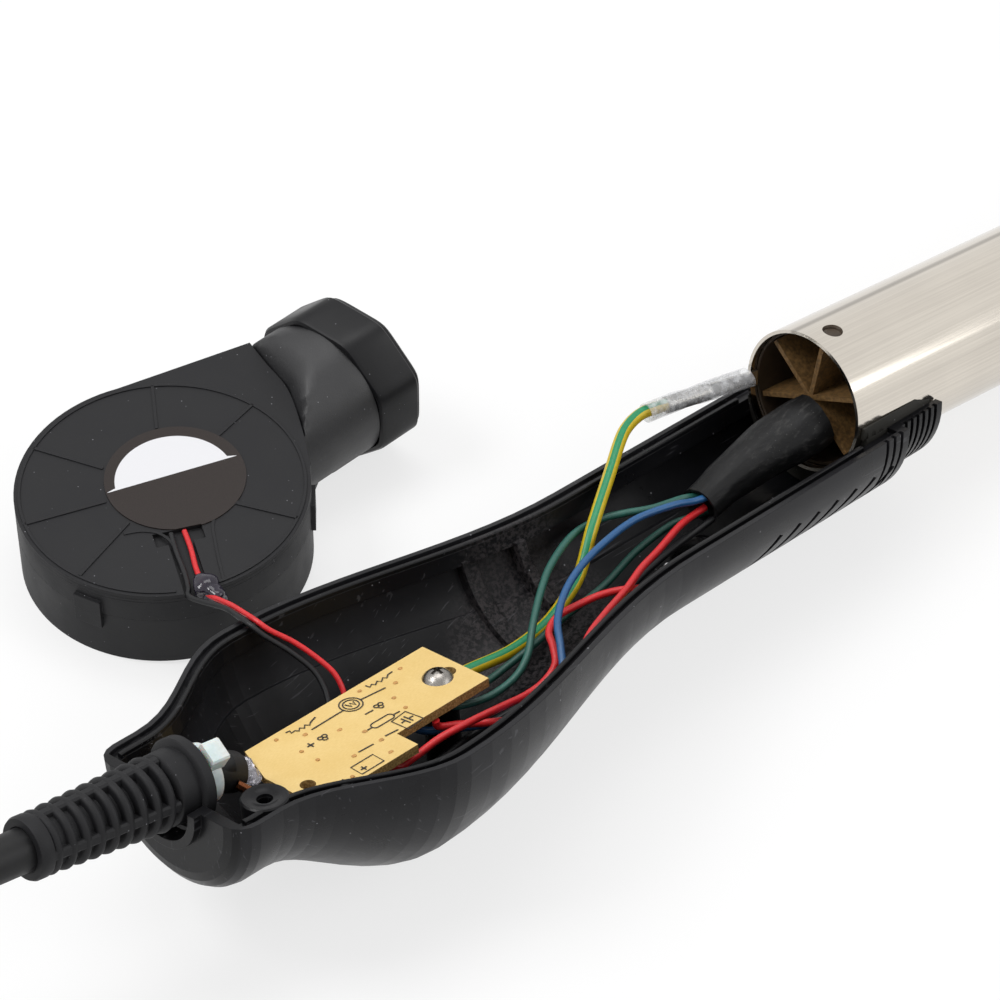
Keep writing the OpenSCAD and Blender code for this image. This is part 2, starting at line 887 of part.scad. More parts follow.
module heating_coil() {
  color("#8f8a86")
    in_tube()
      swept_tube(
        [for (i = [0:winding_turns * winding_steps])
          let (a = 360 * i / winding_steps)
          [winding_start + winding_pitch * i / winding_steps, winding_r * cos(a), winding_r * sin(a)]],
        winding_d / 2, 6);
}

// Sleeve shrunk over the heater leads, from the mouth of the tube down to the floor of the grip
shrink_route = [
  [0.9, -3.6, -0.45], [-1, -3.2, -0.9], [-5, -2.2, -1.6], [-11, -0.6, -3], [-17, 0.6, -5],
  [-21, 1.2, -6.4], [-24, 1.6, -7.2]
];
shrink_radii = [4.6, 4.8, 5, 4.9, 4.4, 4, 3.9];
shrink_wall = 0.5;

module heat_shrink() {
  color("#242424")
    lie()
      difference() {
        swept_tube(shrink_route, shrink_radii, 12);
        swept_tube(
          [(shrink_route[4] + shrink_route[5]) / 2, shrink_route[5], 2 * shrink_route[6] - shrink_route[5]],
          [shrink_radii[5] / 2, shrink_radii[5] - shrink_wall, shrink_radii[6] - shrink_wall], 12);
      }
}

// Earth connection: tab on the tube's inner wall, crimped terminal and clear sleeve
tab_start = [1.5, 11.65, 3.9];
tab_end = [-8, 13.9, 4.6];
tab_w = 2.8;
tab_t = 0.5;
crimp_len = 9;
crimp_share = 0.04;
crimp_r = 1.5;
terminal_end = [-19.5, 16.7, 5.1];
clear_r = 2.1;
clear_wall = 0.35;
clear_start_share = 0.3;
clear_len_share = 0.94;

module between(a, b) {
  d = b - a;
  translate(a)
    rotate([0, acos(d.z / norm(d)), atan2(d.y, d.x)])
      children();
}

module earth_tab() {
  d = norm(tab_end - tab_start);
  color("#c9c5bb")
    lie()
      between(tab_start, tab_end)
        translate([-tab_w / 2, -tab_t / 2, 0])
          cube([tab_w, tab_t, d]);
}

module spade_terminal() {
  start = tab_end + (terminal_end - tab_end) * crimp_share;
  color("#b5b2ab")
    lie()
      between(start, terminal_end)
        difference() {
          cylinder(h = crimp_len, r = crimp_r);
          translate([0, 0, crimp_len / 2])
            cylinder(h = crimp_len, r = earth_d / 2 + fit_gap);
        }
}

module terminal_sleeve() {
  d = norm(terminal_end - tab_start);
  color("#e6e6e6", 0.5)
    lie()
      between(tab_start + (tab_end - tab_start) * clear_start_share, terminal_end)
        difference() {
          cylinder(h = d * clear_len_share, r = clear_r);
          translate([0, 0, -over])
            cylinder(h = d + 2 * over, r = clear_r - clear_wall);
        }
}

// Wires: round numbers along each real route, in the shell frame
earth_route = [
  [-14.5, 15.5, 4.9], [-19.5, 16.7, 5.1], [-22.5, 17.2, 5.1], [-26, 16.8, 4.6], [-29.6, 15.4, 3.8],
  [-36, 12.2, 1], [-45.1, 7.9, -3.5], [-51, 5.7, -9], [-56, 4.8, -11.6], [-62, 3.8, -13.2],
  [-70, 3.6, -14], [-78, 4.6, -13.8], [-86, 5.5, -13.4], [-90, 5.6, -12.4],
  [-91.5, 5.6, board_z - 2 * joint_h]
];
blue_route = [
  [-23.2, 1.2, -5.2], [-26.5, 1.9, -5], [-30.9, 2.6, -4], [-38.4, 4.2, -3.8], [-47, 3.2, -3.8],
  [-54.6, 1.6, -4.4], [-61.5, -1.3, -5], [-67.5, -5.3, -6], [-71, -9.2, -8], [-74, -12.2, -10.5],
  [-77.5, -12.6, -12.6], [-82.5, -11.4, -14.2], [-88, -7, -15], [-95, -3, -14],
  [-97.5, -2.4, -12.6], [-98.6, -2.4, board_z - joint_h]
];
green_route = [
  [-22.9, 3.4, -6], [-26.5, 4.6, -5.4], [-32.7, 5.7, -4.8], [-37.6, 8, -4.4], [-41.9, 10, -4.5],
  [-48.4, 9.7, -4.4], [-56.7, 6.6, -5], [-62.8, 3.2, -6.2], [-68.7, -0.6, -8.2],
  [-73, -3.4, -10.6], [-77, -4.2, -12.6], [-82.6, -4, -13.4], [-88, -3.2, -12.7],
  [-90.5, -2.6, -11.8], [-91.5, -2.6, board_z - joint_h]
];
dark_green_route = [
  [-23, 2.2, -8.6], [-26.5, 3.4, -8.8], [-30.5, 4.4, -9], [-39.2, 4, -9.8], [-49, 1.6, -10.4],
  [-55.7, 0.9, -10.8], [-61.9, 0.4, -11.2], [-68.3, -0.4, -11.9], [-74, 0.4, -13.6],
  [-79, 0.4, -14.2], [-83.4, -0.3, -13.2], [-85.1, -0.6, -11.8], [-85.3, -0.6, board_z - joint_h]
];
red_route = [
  [-24.1, 1.6, -7.2], [-27.2, 1.5, -7.2], [-32, 0.4, -6.9], [-39.9, -2.2, -6.8],
  [-46.5, -4.4, -6.4], [-52.7, -6.6, -6.8], [-60, -8.8, -7], [-66.5, -11.2, -7.2],
  [-71.5, -13.8, -8.6], [-76, -15, -11], [-81, -14.2, -13.4], [-87, -9.5, -13.8], [-92, -6.4, -13],
  [-95.4, -5.4, -12], [-96, -5.4, board_z - joint_h]
];
sensor_route = [
  [-47.2, -8.6, -8.5], [-49, -6.2, -8.4], [-51.5, -4, -8.4], [-54.8, -2.6, -8.3],
  [-59.2, -1.7, -8.4], [-64, -1.8, -8.2], [-67.6, -3.2, -8.8], [-69.4, -5.8, -9.9],
  [-71.4, -8, -11.4], [-74.8, -8.6, -12.8], [-79, -8.6, -13.2], [-84, -9.2, -12.2],
  [-89.4, -10.2, -10.8], [-94.4, -10.6, -10], [-99.4, -9.8, -10.4], [-103.6, -8.8, -11.8],
  [-107, -8, -12.6], [-110, -7.6, board_z - joint_h]
];
black_route = [
  [-23.6, 0.4, -9.2], [-27.5, 0.6, -9.9], [-34, 0.8, -10.8], [-42.7, 0, -11.8],
  [-52.4, -2.6, -12.3], [-60, -5, -12.8], [-66, -6.6, -13.8], [-73, -6.6, -15.6],
  [-80, -6.4, -16.4], [-88, -5.4, -17.2], [-100, -6, -17.6], [-106, -5, -14],
  [-107.5, -5, board_z - joint_h]
];

module wire(route, d) {
  lie()
    swept_tube(smooth(route, 2), d / 2, 8);
}

module earth_wire() {
  color("#c9b51f")
    wire(earth_route, earth_d);
}

module blue_wire() {
  color("#1f4fa8")
    wire(blue_route, wire_d);
}

module green_wire() {
  color("#1d5a45")
    wire(green_route, wire_d);
}

module dark_green_wire() {
  color("#15493b")
    wire(dark_green_route, wire_d);
}

module red_wire() {
  color("#c22026")
    wire(red_route, wire_d);
}

module sensor_wire() {
  color("#c22026")
    wire(sensor_route, wire_d);
}

module black_wire() {
  color("#151515")
    wire(black_route, wire_d);
}

// Tilt switch that tells the station when the handpiece is put down, with its two leads
switch_r = 1.3;
switch_len = 5.4;
switch_back = 6;
switch_x = -grip_len - switch_back;
switch_y = -9.3;
switch_z = -9.6;
switch_turn = 20;
switch_lead_r = 0.3;
switch_lead_len = 3.6;

module tilt_switch() {
  color("#b6a15a")
    lie()
      translate([switch_x, switch_y, switch_z])
        rotate([0, 90, switch_turn]) {
          cylinder(h = switch_len, r = switch_r, center = true);
          cylinder(h = switch_lead_len, r = switch_lead_r);
        }
}

// Blower, on its own axis: zero at the middle of the cover's top face
collar_flat_share = 0.946;
collar_a = collar_r * collar_flat_share;
fan_lean = atan((duct_z + collar_a - fan_h) / (fan_r + collar_x - collar_len));
fan_x = -92.7;
fan_y = 61.8;
fan_turn = 0.95;
fan_z = fan_h * cos(fan_lean) + fan_r * sin(fan_lean);
throat_x = 33;
throat_cone = 6;
throat_cone_r = 8;
bore_r = duct_r - fan_wall;
cavity_r = fan_r - 2 * fan_wall;
cover_t = 1.6;
inlet_r = 15;
inlet_lip = 0.6;
spoke_w = 0.6;
spoke_d = 0.35;
spoke_turns = [10, 54, 115, 158, 195, 299];
spoke_in = 13.6;
spoke_out = 23.4;
ring_r = 24.3;
slot_turn = 243;
lead_slot_w = 4.2;
lead_slot_in = 10.4;
lead_slot_head = 8.4;
lead_slot_head_len = 3;
clip_turns = [200, 318, 80];
clip_w = 5;
clip_t = 1.2;
clip_h = 6;

module in_blower() {
  translate([origin_x + fan_x, origin_y + fan_y, fan_z])
    rotate([0, -fan_lean, -fan_turn])
      children();
}

module on_motor(z) {
  in_blower()
    translate([motor_x, 0, z])
      children();
}

// Shares of the housing's radius, and of the duct's, at the corners of the throat
throat_fan_shares = [[0.38, 0.925], [0.9, -0.4]];
throat_duct_shares = [0.86, -0.6];

module housing_plan() {
  circle(r = fan_r);
  polygon([
    fan_r * throat_fan_shares[0],
    [throat_x, duct_y + throat_duct_shares[0] * duct_r],
    [throat_x, duct_y + throat_duct_shares[1] * duct_r],
    fan_r * throat_fan_shares[1]
  ]);
}

module duct_body() {
  translate([0, duct_y, -duct_z]) {
    along_x(throat_x)
      cylinder(h = collar_x - collar_len - throat_x, r = duct_r);
    along_x(throat_x - throat_cone)
      cylinder(h = throat_cone, r1 = throat_cone_r, r2 = duct_r);
  }
}

module fan_slot(depth) {
  rotate([0, 0, slot_turn]) {
    translate([lead_slot_in, -lead_slot_w / 2, -depth])
      cube([fan_r, lead_slot_w, depth + over]);
    translate([lead_slot_in, -lead_slot_head / 2, -depth])
      cube([lead_slot_head_len, lead_slot_head, depth + over]);
  }
}

module blower_shell(top, bottom) {
  difference() {
    union() {
      translate([0, 0, bottom])
        linear_extrude(height = top - bottom)
          housing_plan();
      intersection() {
        duct_body();
        translate([0, -2 * fan_r, top == 0 ? bottom : -2 * fan_r])
          cube([2 * collar_x, 4 * fan_r, 2 * fan_r + min(0, top)]);
      }
    }
    translate([0, 0, -fan_h + cover_t])
      cylinder(h = fan_h - 2 * cover_t, r = cavity_r);
    translate([0, duct_y, -duct_z])
      along_x(0)
        cylinder(h = 2 * collar_x, r = bore_r - fan_wall);
  }
}

module blower_cover() {
  color("#232325")
    in_blower()
      difference() {
        union() {
          blower_shell(0, -cover_h);
          for (a = clip_turns)
            rotate([0, 0, a])
              translate([fan_r - clip_t / 2, -clip_w / 2, -cover_h])
                cube([clip_t, clip_w, clip_h / 2]);
        }
        for (a = spoke_turns)
          rotate([0, 0, a])
            translate([spoke_in, -spoke_w / 2, -spoke_d])
              cube([spoke_out - spoke_in, spoke_w, spoke_d + over]);
        translate([0, 0, -spoke_d])
          difference() {
            cylinder(h = spoke_d + over, r = ring_r + spoke_w / 2);
            translate([0, 0, -over])
              cylinder(h = spoke_d + 3 * over, r = ring_r - spoke_w / 2);
            translate([throat_x - throat_cone - over, -fan_r, -over])
              cube([fan_r, 2 * fan_r, 3 * over + spoke_d]);
          }
        fan_slot(cover_t / 2);
        translate([0, 0, -cover_t - over])
          rotate([0, 0, slot_turn])
            translate([lead_slot_in, -lead_slot_w / 2, 0])
              cube([lead_slot_head_len, lead_slot_w, 2 * cover_t + over]);
      }
}

module blower_base() {
  color("#1f1f21")
    in_blower()
      difference() {
        union() {
          blower_shell(-cover_h, -fan_h);
          for (a = clip_turns)
            rotate([0, 0, a])
              translate([fan_r - clip_t / 2, -clip_w / 2, -cover_h - clip_h / 2])
                cube([clip_t, clip_w, clip_h / 2]);
        }
        translate([motor_x, 0, -fan_h - over])
          cylinder(h = cover_t + 2 * over, r = inlet_r);
        translate([motor_x, 0, -fan_h - over])
          cylinder(h = over + inlet_lip, r = inlet_r + inlet_lip);
      }
}

module blower_collar() {
  color("#1c1c1e")
    in_blower()
      translate([0, duct_y, -duct_z])
        along_x(collar_x - collar_len)
          difference() {
            intersection() {
              cylinder(h = collar_len, r = collar_r);
              rotate([0, 0, 22.5])
                cylinder(h = collar_len, r = collar_a / cos(22.5), $fn = 8);
            }
            translate([0, 0, -over])
              cylinder(h = collar_len + 2 * over, r = bore_r);
          }
}

// Label over the motor, cut where the leads come out
label_t = 0.2;

module blower_label() {
  color("#2c2522")
    in_blower()
      difference() {
        translate([motor_x, 0, 0])
          cylinder(h = label_t, r = label_r);
        rotate([0, 0, slot_turn])
          translate([lead_slot_in, -lead_slot_w, -over])
            cube([label_r, 2 * lead_slot_w, 3 * over]);
      }
}

// Motor: board and stator under the cover, magnet cup and blades on the shaft
bush_r = 2.6;
bush_len = 7;
shaft_r = 1;
shaft_gap = 0.04;
board_ring_r = 8.4;
board_ring_t = 0.8;
stator_r = 7.2;
stator_h = 4;
stator_drop = 3;
stator_slots = 6;
stator_slot_w = 1.6;
cup_in_r = 8.9;
magnet_t = 1;
cup_t = 0.9;
cup_top = 3;
cup_h = 7.6;
blade_t = 0.8;
blade_in = 11.5;
blade_lean = 35;
blade_reach_share = 0.9;
disc_t = 0.8;
blade_h = 9;

module blower_board() {
  color("#2b5a3a")
    on_motor(-cover_t - board_ring_t)
      difference() {
        cylinder(h = board_ring_t, r = board_ring_r);
        translate([0, 0, -over])
          cylinder(h = board_ring_t + 2 * over, r = bush_r + fit_gap);
      }
}

module bearing_bush() {
  color("#b08d57")
    on_motor(-cover_t - bush_len)
      difference() {
        cylinder(h = bush_len, r = bush_r);
        translate([0, 0, -over])
          cylinder(h = bush_len + over - disc_t, r = shaft_r + shaft_gap);
      }
}

module stator() {
  color("#a8572e")
    on_motor(-cover_t - board_ring_t - stator_h)
      difference() {
        cylinder(h = stator_h, r = stator_r);
        translate([0, 0, -over])
          cylinder(h = stator_h + 2 * over, r = bush_r + fit_gap);
        for (i = [0:stator_slots - 1])
          rotate([0, 0, 360 * i / stator_slots])
            translate([bush_r + stator_slot_w, -stator_slot_w / 2, -over])
              cube([stator_r, stator_slot_w, stator_h + 2 * over]);
      }
}

module impeller() {
  color("#17171a")
    on_motor(0) {
      translate([0, 0, -cup_top - cup_h])
        difference() {
          cylinder(h = cup_h, r = cup_in_r + magnet_t + cup_t);
          translate([0, 0, cup_t])
            cylinder(h = cup_h, r = cup_in_r + magnet_t);
          translate([0, 0, -over])
            cylinder(h = cup_h, r = shaft_r);
        }
      translate([0, 0, -cup_top - disc_t])
        difference() {
          cylinder(h = disc_t, r = impeller_r);
          translate([0, 0, -over])
            cylinder(h = disc_t + 2 * over, r = cup_in_r + magnet_t + cup_t / 2);
        }
      for (i = [0:blades - 1])
        rotate([0, 0, 360 * i / blades])
          translate([blade_in, 0, -cup_top - blade_h])
            rotate([0, 0, blade_lean])
              translate([0, -blade_t / 2, 0])
                cube([blade_reach_share * (impeller_r - blade_in) / cos(blade_lean), blade_t,
                  blade_h - disc_t / 2]);
    }
}

module rotor_magnet() {
  color("#4a4340")
    on_motor(-cup_top - cup_h + cup_t)
      difference() {
        cylinder(h = stator_h + cup_t, r = cup_in_r + magnet_t);
        translate([0, 0, -over])
          cylinder(h = stator_h + cup_t + 2 * over, r = cup_in_r);
      }
}

module motor_shaft() {
  color("#cfd2d4")
    on_motor(-cup_top - cup_h)
      cylinder(h = cup_h + cup_top - cover_t - 2 * disc_t, r = shaft_r);
}

// The two leads of the blower: out of the slot in its cover, over the rim and under the board
function fan_point(r, turn, z) =
  let (p = [r * cos(slot_turn + turn), r * sin(slot_turn + turn), z])
  let (q = [p.x * cos(fan_lean) - p.z * sin(fan_lean), p.y, p.z * cos(fan_lean) + p.x * sin(fan_lean)])
  [
    origin_x + fan_x + q.x * cos(fan_turn) + q.y * sin(fan_turn),
    origin_y + fan_y + q.y * cos(fan_turn) - q.x * sin(fan_turn),
    fan_z + q.z
  ];
lead_r = lead_d / 2;
lead_seat = part_gap - cover_t / 2 + lead_r;
// Along the slot: distance from the shaft, height over the slot, and share of the lead's own turn
slot_route = [[11, 0, 2], [15, 0, 1.6], [20, 0, 1], [24, 0.5, 1], [26.5, 0.8, 1]];
lead_turn = 3;
red_lead_route = [
  [-101.5, 27, 9], [-96.5, 18.5, 3.4], [-96, 14.6, -1], [-98, 11.6, -6.4], [-100, 10.6, -10.6],
  [-101.5, 8.6, -12.2], [-101.5, 8.6, -10.7]
];
black_lead_route = [
  [-103, 27, 8.6], [-98.4, 18.3, 2.6], [-98.4, 14.4, -2], [-100.6, 11.8, -7.2],
  [-104, 10.7, -10.8], [-105.5, 8.6, -12.2], [-105.5, 8.6, -10.7]
];

module fan_lead(turn, route) {
  swept_tube(smooth(concat(
    [for (p = slot_route) fan_point(p[0], turn * p[2], lead_seat + p[1])],
    [for (p = route) on_floor(p)]), 2), lead_r, 8);
}

module lead_red() {
  color("#c8202a")
    fan_lead(lead_turn, red_lead_route);
}

module lead_black() {
  color("#141414")
    fan_lead(-lead_turn, black_lead_route);
}

// Clear blob that holds the leads at the edge of the cover
glue_blob_r = 2.5;
glue_blob_x = 23;
glue_blob_len = 4;
glue_blob_low = 0.7;

module lead_glue() {
  color("#6a5f86", 0.6)
    translate(fan_point(glue_blob_x, 0, 0))
      rotate([0, -fan_lean, slot_turn - fan_turn])
        intersection() {
          translate([0, 0, lead_r])
            rotate([0, 90, 0])
              cylinder(h = glue_blob_len, r = glue_blob_r);
          translate([0, -glue_blob_r, lead_d + glue_blob_low])
            cube([glue_blob_len, 2 * glue_blob_r, glue_blob_r]);
        }
}

lower_shell();
circuit_board();
board_screw();
board_solder();
board_resistors();
board_capacitor();
board_diodes();
tilt_switch();
strain_relief();
cable_tie();
cable_jacket();
cable_cores();
jacket_glue();
cord_run();
cord_coil();
connector_shell();
connector_nut();
connector_insert();
connector_pins();
heater_tube();
tube_gasket();
earth_tab();
spade_terminal();
terminal_sleeve();
mica_star();
mica_liner();
heating_coil();
heat_shrink();
earth_wire();
blue_wire();
green_wire();
dark_green_wire();
red_wire();
sensor_wire();
black_wire();
blower_cover();
blower_base();
blower_collar();
blower_label();
stator();
blower_board();
bearing_bush();
impeller();
rotor_magnet();
motor_shaft();
lead_red();
lead_black();
lead_glue();
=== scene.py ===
# Opened hot air handpiece: half-shell with heater tube, board and wires, blower beside it.
# Lengths are millimetres, in the frame of the shell, the tube, the strain relief or the blower, or
# on the floor, and mesh_object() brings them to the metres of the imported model.
import math
import bmesh
import bpy
from mathutils import Euler, Matrix, Vector


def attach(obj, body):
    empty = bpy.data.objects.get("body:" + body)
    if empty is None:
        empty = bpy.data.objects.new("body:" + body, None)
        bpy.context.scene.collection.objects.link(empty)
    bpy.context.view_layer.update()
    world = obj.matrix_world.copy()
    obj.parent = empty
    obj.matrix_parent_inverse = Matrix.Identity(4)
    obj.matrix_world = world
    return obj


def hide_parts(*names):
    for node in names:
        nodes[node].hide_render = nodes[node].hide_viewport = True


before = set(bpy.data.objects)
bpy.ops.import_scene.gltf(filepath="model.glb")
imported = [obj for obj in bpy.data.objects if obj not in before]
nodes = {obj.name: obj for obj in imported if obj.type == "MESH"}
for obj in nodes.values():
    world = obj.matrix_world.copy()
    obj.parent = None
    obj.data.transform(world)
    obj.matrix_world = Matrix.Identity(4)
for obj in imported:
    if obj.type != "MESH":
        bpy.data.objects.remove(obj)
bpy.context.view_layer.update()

MM = 0.001
BODY = "handpiece"

# Frames of the object. The half-shell lies on its round belly, rolled and pitched, with the tube
# and the strain relief at slight angles in it. The blower lies on the floor beside it and leans
# from the rear edge of its base to the lower flat of its collar.
ORIGIN = (26.93, -29.4)
BELLY = 21.483
SHELL_ROLL, SHELL_PITCH = -15.2, 3.8
TUBE_LIFT, TUBE_PITCH, TUBE_YAW = 3.6, 2.55, -2.07
RELIEF_X, RELIEF_Y, RELIEF_RISE, RELIEF_SWING = -141.5, 0.5, 6.6, 1.7
FAN_R, FAN_H, FAN_YAW, DUCT_DEPTH = 25, 16, -0.95, 7.5
SOLID_COLLAR_FLAT, SOLID_COLLAR_END, SOLID_COLLAR_LEN = 15 * 0.946, 51.4, 10.2
FAN_LEAN = math.atan((DUCT_DEPTH + SOLID_COLLAR_FLAT - FAN_H) / (FAN_R + SOLID_COLLAR_END - SOLID_COLLAR_LEN))
FAN_Z = FAN_H * math.cos(FAN_LEAN) + FAN_R * math.sin(FAN_LEAN)


def turned(x=0, y=0, z=0):
    return Euler((math.radians(x), math.radians(y), math.radians(z)), "XYZ").to_matrix().to_4x4()


SHELL = Matrix.Translation((*ORIGIN, BELLY)) @ turned(SHELL_ROLL, SHELL_PITCH)
TUBE = SHELL @ Matrix.Translation((0, 0, TUBE_LIFT)) @ turned(y=TUBE_PITCH) @ turned(z=TUBE_YAW)
RELIEF = SHELL @ Matrix.Translation((RELIEF_X, RELIEF_Y, 0)) @ turned(0, RELIEF_RISE - 90, -RELIEF_SWING)
FAN = (Matrix.Translation((ORIGIN[0] - 92.7, ORIGIN[1] + 61.8, FAN_Z))
       @ turned(0, -math.degrees(FAN_LEAN), FAN_YAW))
FLOOR = Matrix.Identity(4)

# Camera: the photograph's, solved in the shell's frame and carried with the shell. Its focal
# length is in widths of the picture.
FOCAL, SENSOR = 3.721, 36


def look(target, distance, turn, drop, roll):
    a, e, r = (math.radians(v) for v in (turn, drop, roll))
    right = Vector((math.cos(a), math.sin(a), 0))
    ahead = Vector((-math.sin(a) * math.cos(e), math.cos(a) * math.cos(e), -math.sin(e)))
    up = right.cross(ahead)
    right, up = right * math.cos(r) + up * math.sin(r), up * math.cos(r) - right * math.sin(r)
    turn3 = Matrix((right, up, -ahead)).transposed()
    cam = bpy.data.objects.new("camera", bpy.data.cameras.new("camera"))
    cam.data.sensor_width = SENSOR
    cam.data.lens = FOCAL * SENSOR
    cam.data.clip_start = 0.05
    cam.data.clip_end = 20
    place = SHELL @ Matrix.Translation(Vector(target) - ahead * distance) @ turn3.to_4x4()
    place.translation *= MM
    cam.matrix_world = place
    bpy.context.scene.collection.objects.link(cam)
    bpy.context.scene.camera = cam


look((-52.325, 22.27, 0), distance=628, turn=-42.96, drop=29.704, roll=-4.799)


# Mesh helpers: smooth routes, tubes and sleeves along them, flat ribbons, turned profiles, blobs.
# Each gives vertices and faces, which mesh_object() makes into a piece of the handpiece.
def smooth(points, steps):
    pts = [Vector(p) for p in points]
    out = []
    for i in range(len(pts) - 1):
        a, b, c, d = pts[max(i - 1, 0)], pts[i], pts[i + 1], pts[min(i + 2, len(pts) - 1)]
        for j in range(steps):
            t = j / steps
            out.append((2 * b + (c - a) * t + (2 * a - 5 * b + 4 * c - d) * t * t
                        + (3 * b - a - 3 * c + d) * t ** 3) / 2)
    return out + [pts[-1]]


def along(points):
    """Each point of a route with its tangent and two normals that don't twist."""
    side = None
    for i, p in enumerate(points):
        t = (points[min(i + 1, len(points) - 1)] - points[max(i - 1, 0)]).normalized()
        if side is None:
            side = t.cross(Vector((0, 0, 1)) if abs(t.z) < 0.8 else Vector((0, 1, 0)))
        side = (side - t * side.dot(t)).normalized()
        yield p, t, side, t.cross(side)


def mesh_object(name, verts, faces, mats, smooth_angle=40, place=None, face_mats=None):
    """Edges sharper than the angle stay sharp, and 0 leaves all faces flat."""
    mesh = bpy.data.meshes.new(name)
    mesh.from_pydata([(place @ Vector(v) if place else Vector(v)) * MM for v in verts], [], faces)
    mesh.update()
    for m in mats:
        mesh.materials.append(m)
    if face_mats:
        mesh.polygons.foreach_set("material_index", face_mats)
    outward = bmesh.new()
    outward.from_mesh(mesh)
    bmesh.ops.recalc_face_normals(outward, faces=outward.faces)
    outward.to_mesh(mesh)
    outward.free()
    obj = bpy.data.objects.new(name, mesh)
    bpy.context.scene.collection.objects.link(obj)
    if smooth_angle:
        mesh.shade_smooth()
        mesh.set_sharp_from_angle(angle=math.radians(smooth_angle))
    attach(obj, BODY)
    return obj


def tube_mesh(route, radius, sides, pick=None):
    """Vertices, faces and face marks of a tube; pick(k) is the mark of side k."""
    verts, faces, marks = [], [], []
    n = len(route)
    for p, _, a, b in along(route):
        for k in range(sides):
            w = 2 * math.pi * k / sides
            verts.append(p + radius * (math.cos(w) * a + math.sin(w) * b))
    for i in range(n - 1):
        for k in range(sides):
            q = (k + 1) % sides
            faces.append((i * sides + k, i * sides + q, (i + 1) * sides + q, (i + 1) * sides + k))
            marks.append(pick(k) if pick else 0)
    faces += [tuple(reversed(range(sides))), tuple((n - 1) * sides + k for k in range(sides))]
    return verts, faces, marks + [0, 0]


def sleeve_mesh(route, radius, wall, back, sides):
    """A soft tube, open at its far end to a depth of `back` rings, and at both ends if that is all of them."""
    frames = list(along(route))
    n = len(frames)
    rings = [(i, 0) for i in range(n)] + [(i, wall) for i in range(n - 1, n - 1 - back, -1)]
    verts = []
    for i, less in rings:
        p, _, a, b = frames[i]
        for k in range(sides):
            w = 2 * math.pi * k / sides
            ra, rb = radius(i / (n - 1), w)
            verts.append(p + (ra - less) * math.cos(w) * a + (rb - less) * math.sin(w) * b)
    joins = list(zip(range(len(rings) - 1), range(1, len(rings))))
    if back == n:
        joins.append((len(rings) - 1, 0))
    faces = [(u * sides + k, u * sides + (k + 1) % sides, v * sides + (k + 1) % sides, v * sides + k)
             for u, v in joins for k in range(sides)]
    if back < n:
        faces += [tuple(range(sides)), tuple((len(rings) - 1) * sides + k for k in range(sides))]
    return verts, faces


def ribbon(points, width, low, high, closed=False):
    """A flat line of some width and height that follows points of (x, y)."""
    pts = [Vector((*q, 0)) for q in points]
    n = len(pts)
    verts, faces = [], []
    for i, q in enumerate(pts):
        before = pts[i - 1] if closed or i else q
        after = pts[(i + 1) % n] if closed or i < n - 1 else q
        side = (after - before).normalized().cross(Vector((0, 0, 1))) * width / 2
        verts += [(*(q + s * side).xy, z) for z in (low, high) for s in (-1, 1)]
    for i in range(n if closed else n - 1):
        a, b = 4 * i, 4 * ((i + 1) % n)
        faces += [(a, b, b + 1, a + 1), (a + 2, a + 3, b + 3, b + 2),
                  (a, a + 2, b + 2, b), (a + 1, b + 1, b + 3, a + 3)]
    if not closed:
        faces += [(0, 1, 3, 2), (4 * n - 4, 4 * n - 2, 4 * n - 1, 4 * n - 3)]
    return verts, faces


def lathe(profile, centre=(0, 0, 0), sides=48, ring=False):
    """A profile of (radius, height) turned about the vertical, with closed ends, or a ring closed on itself."""
    verts = [(centre[0] + r * math.cos(2 * math.pi * k / sides), centre[1] + r * math.sin(2 * math.pi * k / sides),
              centre[2] + z) for r, z in profile for k in range(sides)]
    faces = [(i * sides + k, i * sides + (k + 1) % sides, (i + 1) * sides + (k + 1) % sides, (i + 1) * sides + k)
             for i in range(len(profile) - 1) for k in range(sides)]
    last = (len(profile) - 1) * sides
    if ring:
        return verts, faces + [(last + k, last + (k + 1) % sides, (k + 1) % sides, k) for k in range(sides)]
    return verts, faces + [tuple(range(sides)), tuple(last + k for k in range(sides))]


def lump(centre, size, seed, rough=0.12):
    """A soft uneven blob."""
    profile = [(math.sin(math.pi * i / 17), -math.cos(math.pi * i / 17)) for i in range(1, 17)]
    verts, faces = lathe(profile, sides=24)
    out = []
    for x, y, z in verts:
        k = 1 + rough * (math.sin(3 * x + seed) + math.sin(4 * y + 2 * seed) + math.sin(5 * z - seed)) / 1.6
        out.append((centre[0] + k * x * size[0], centre[1] + k * y * size[1], centre[2] + k * z * size[2]))
    return out, faces


def merged(parts):
    verts, faces = [], []
    for v, f in parts:
        faces += [tuple(len(verts) + i for i in face) for face in f]
        verts += v
    return verts, faces


# The free cable: round and black, with a soft jacket, held by the strain relief. It goes down to
# the floor and into a flat coil of two layers outside the picture. Its places on the way are x and
# y from the exit, and the share of the drop to the floor.
CORD_D, COIL_R, TURNS, PITCH = 7, 39, 2, 7.6
BOOT, FLOOR_GAP, COIL_STEPS, TAIL = 31, 0.2, 48, 36


def relief_point(t):
    e, s = math.radians(RELIEF_RISE), math.radians(RELIEF_SWING)
    return Vector((RELIEF_X - t * math.cos(e) * math.cos(s), RELIEF_Y + t * math.cos(e) * math.sin(s),
                   t * math.sin(e)))


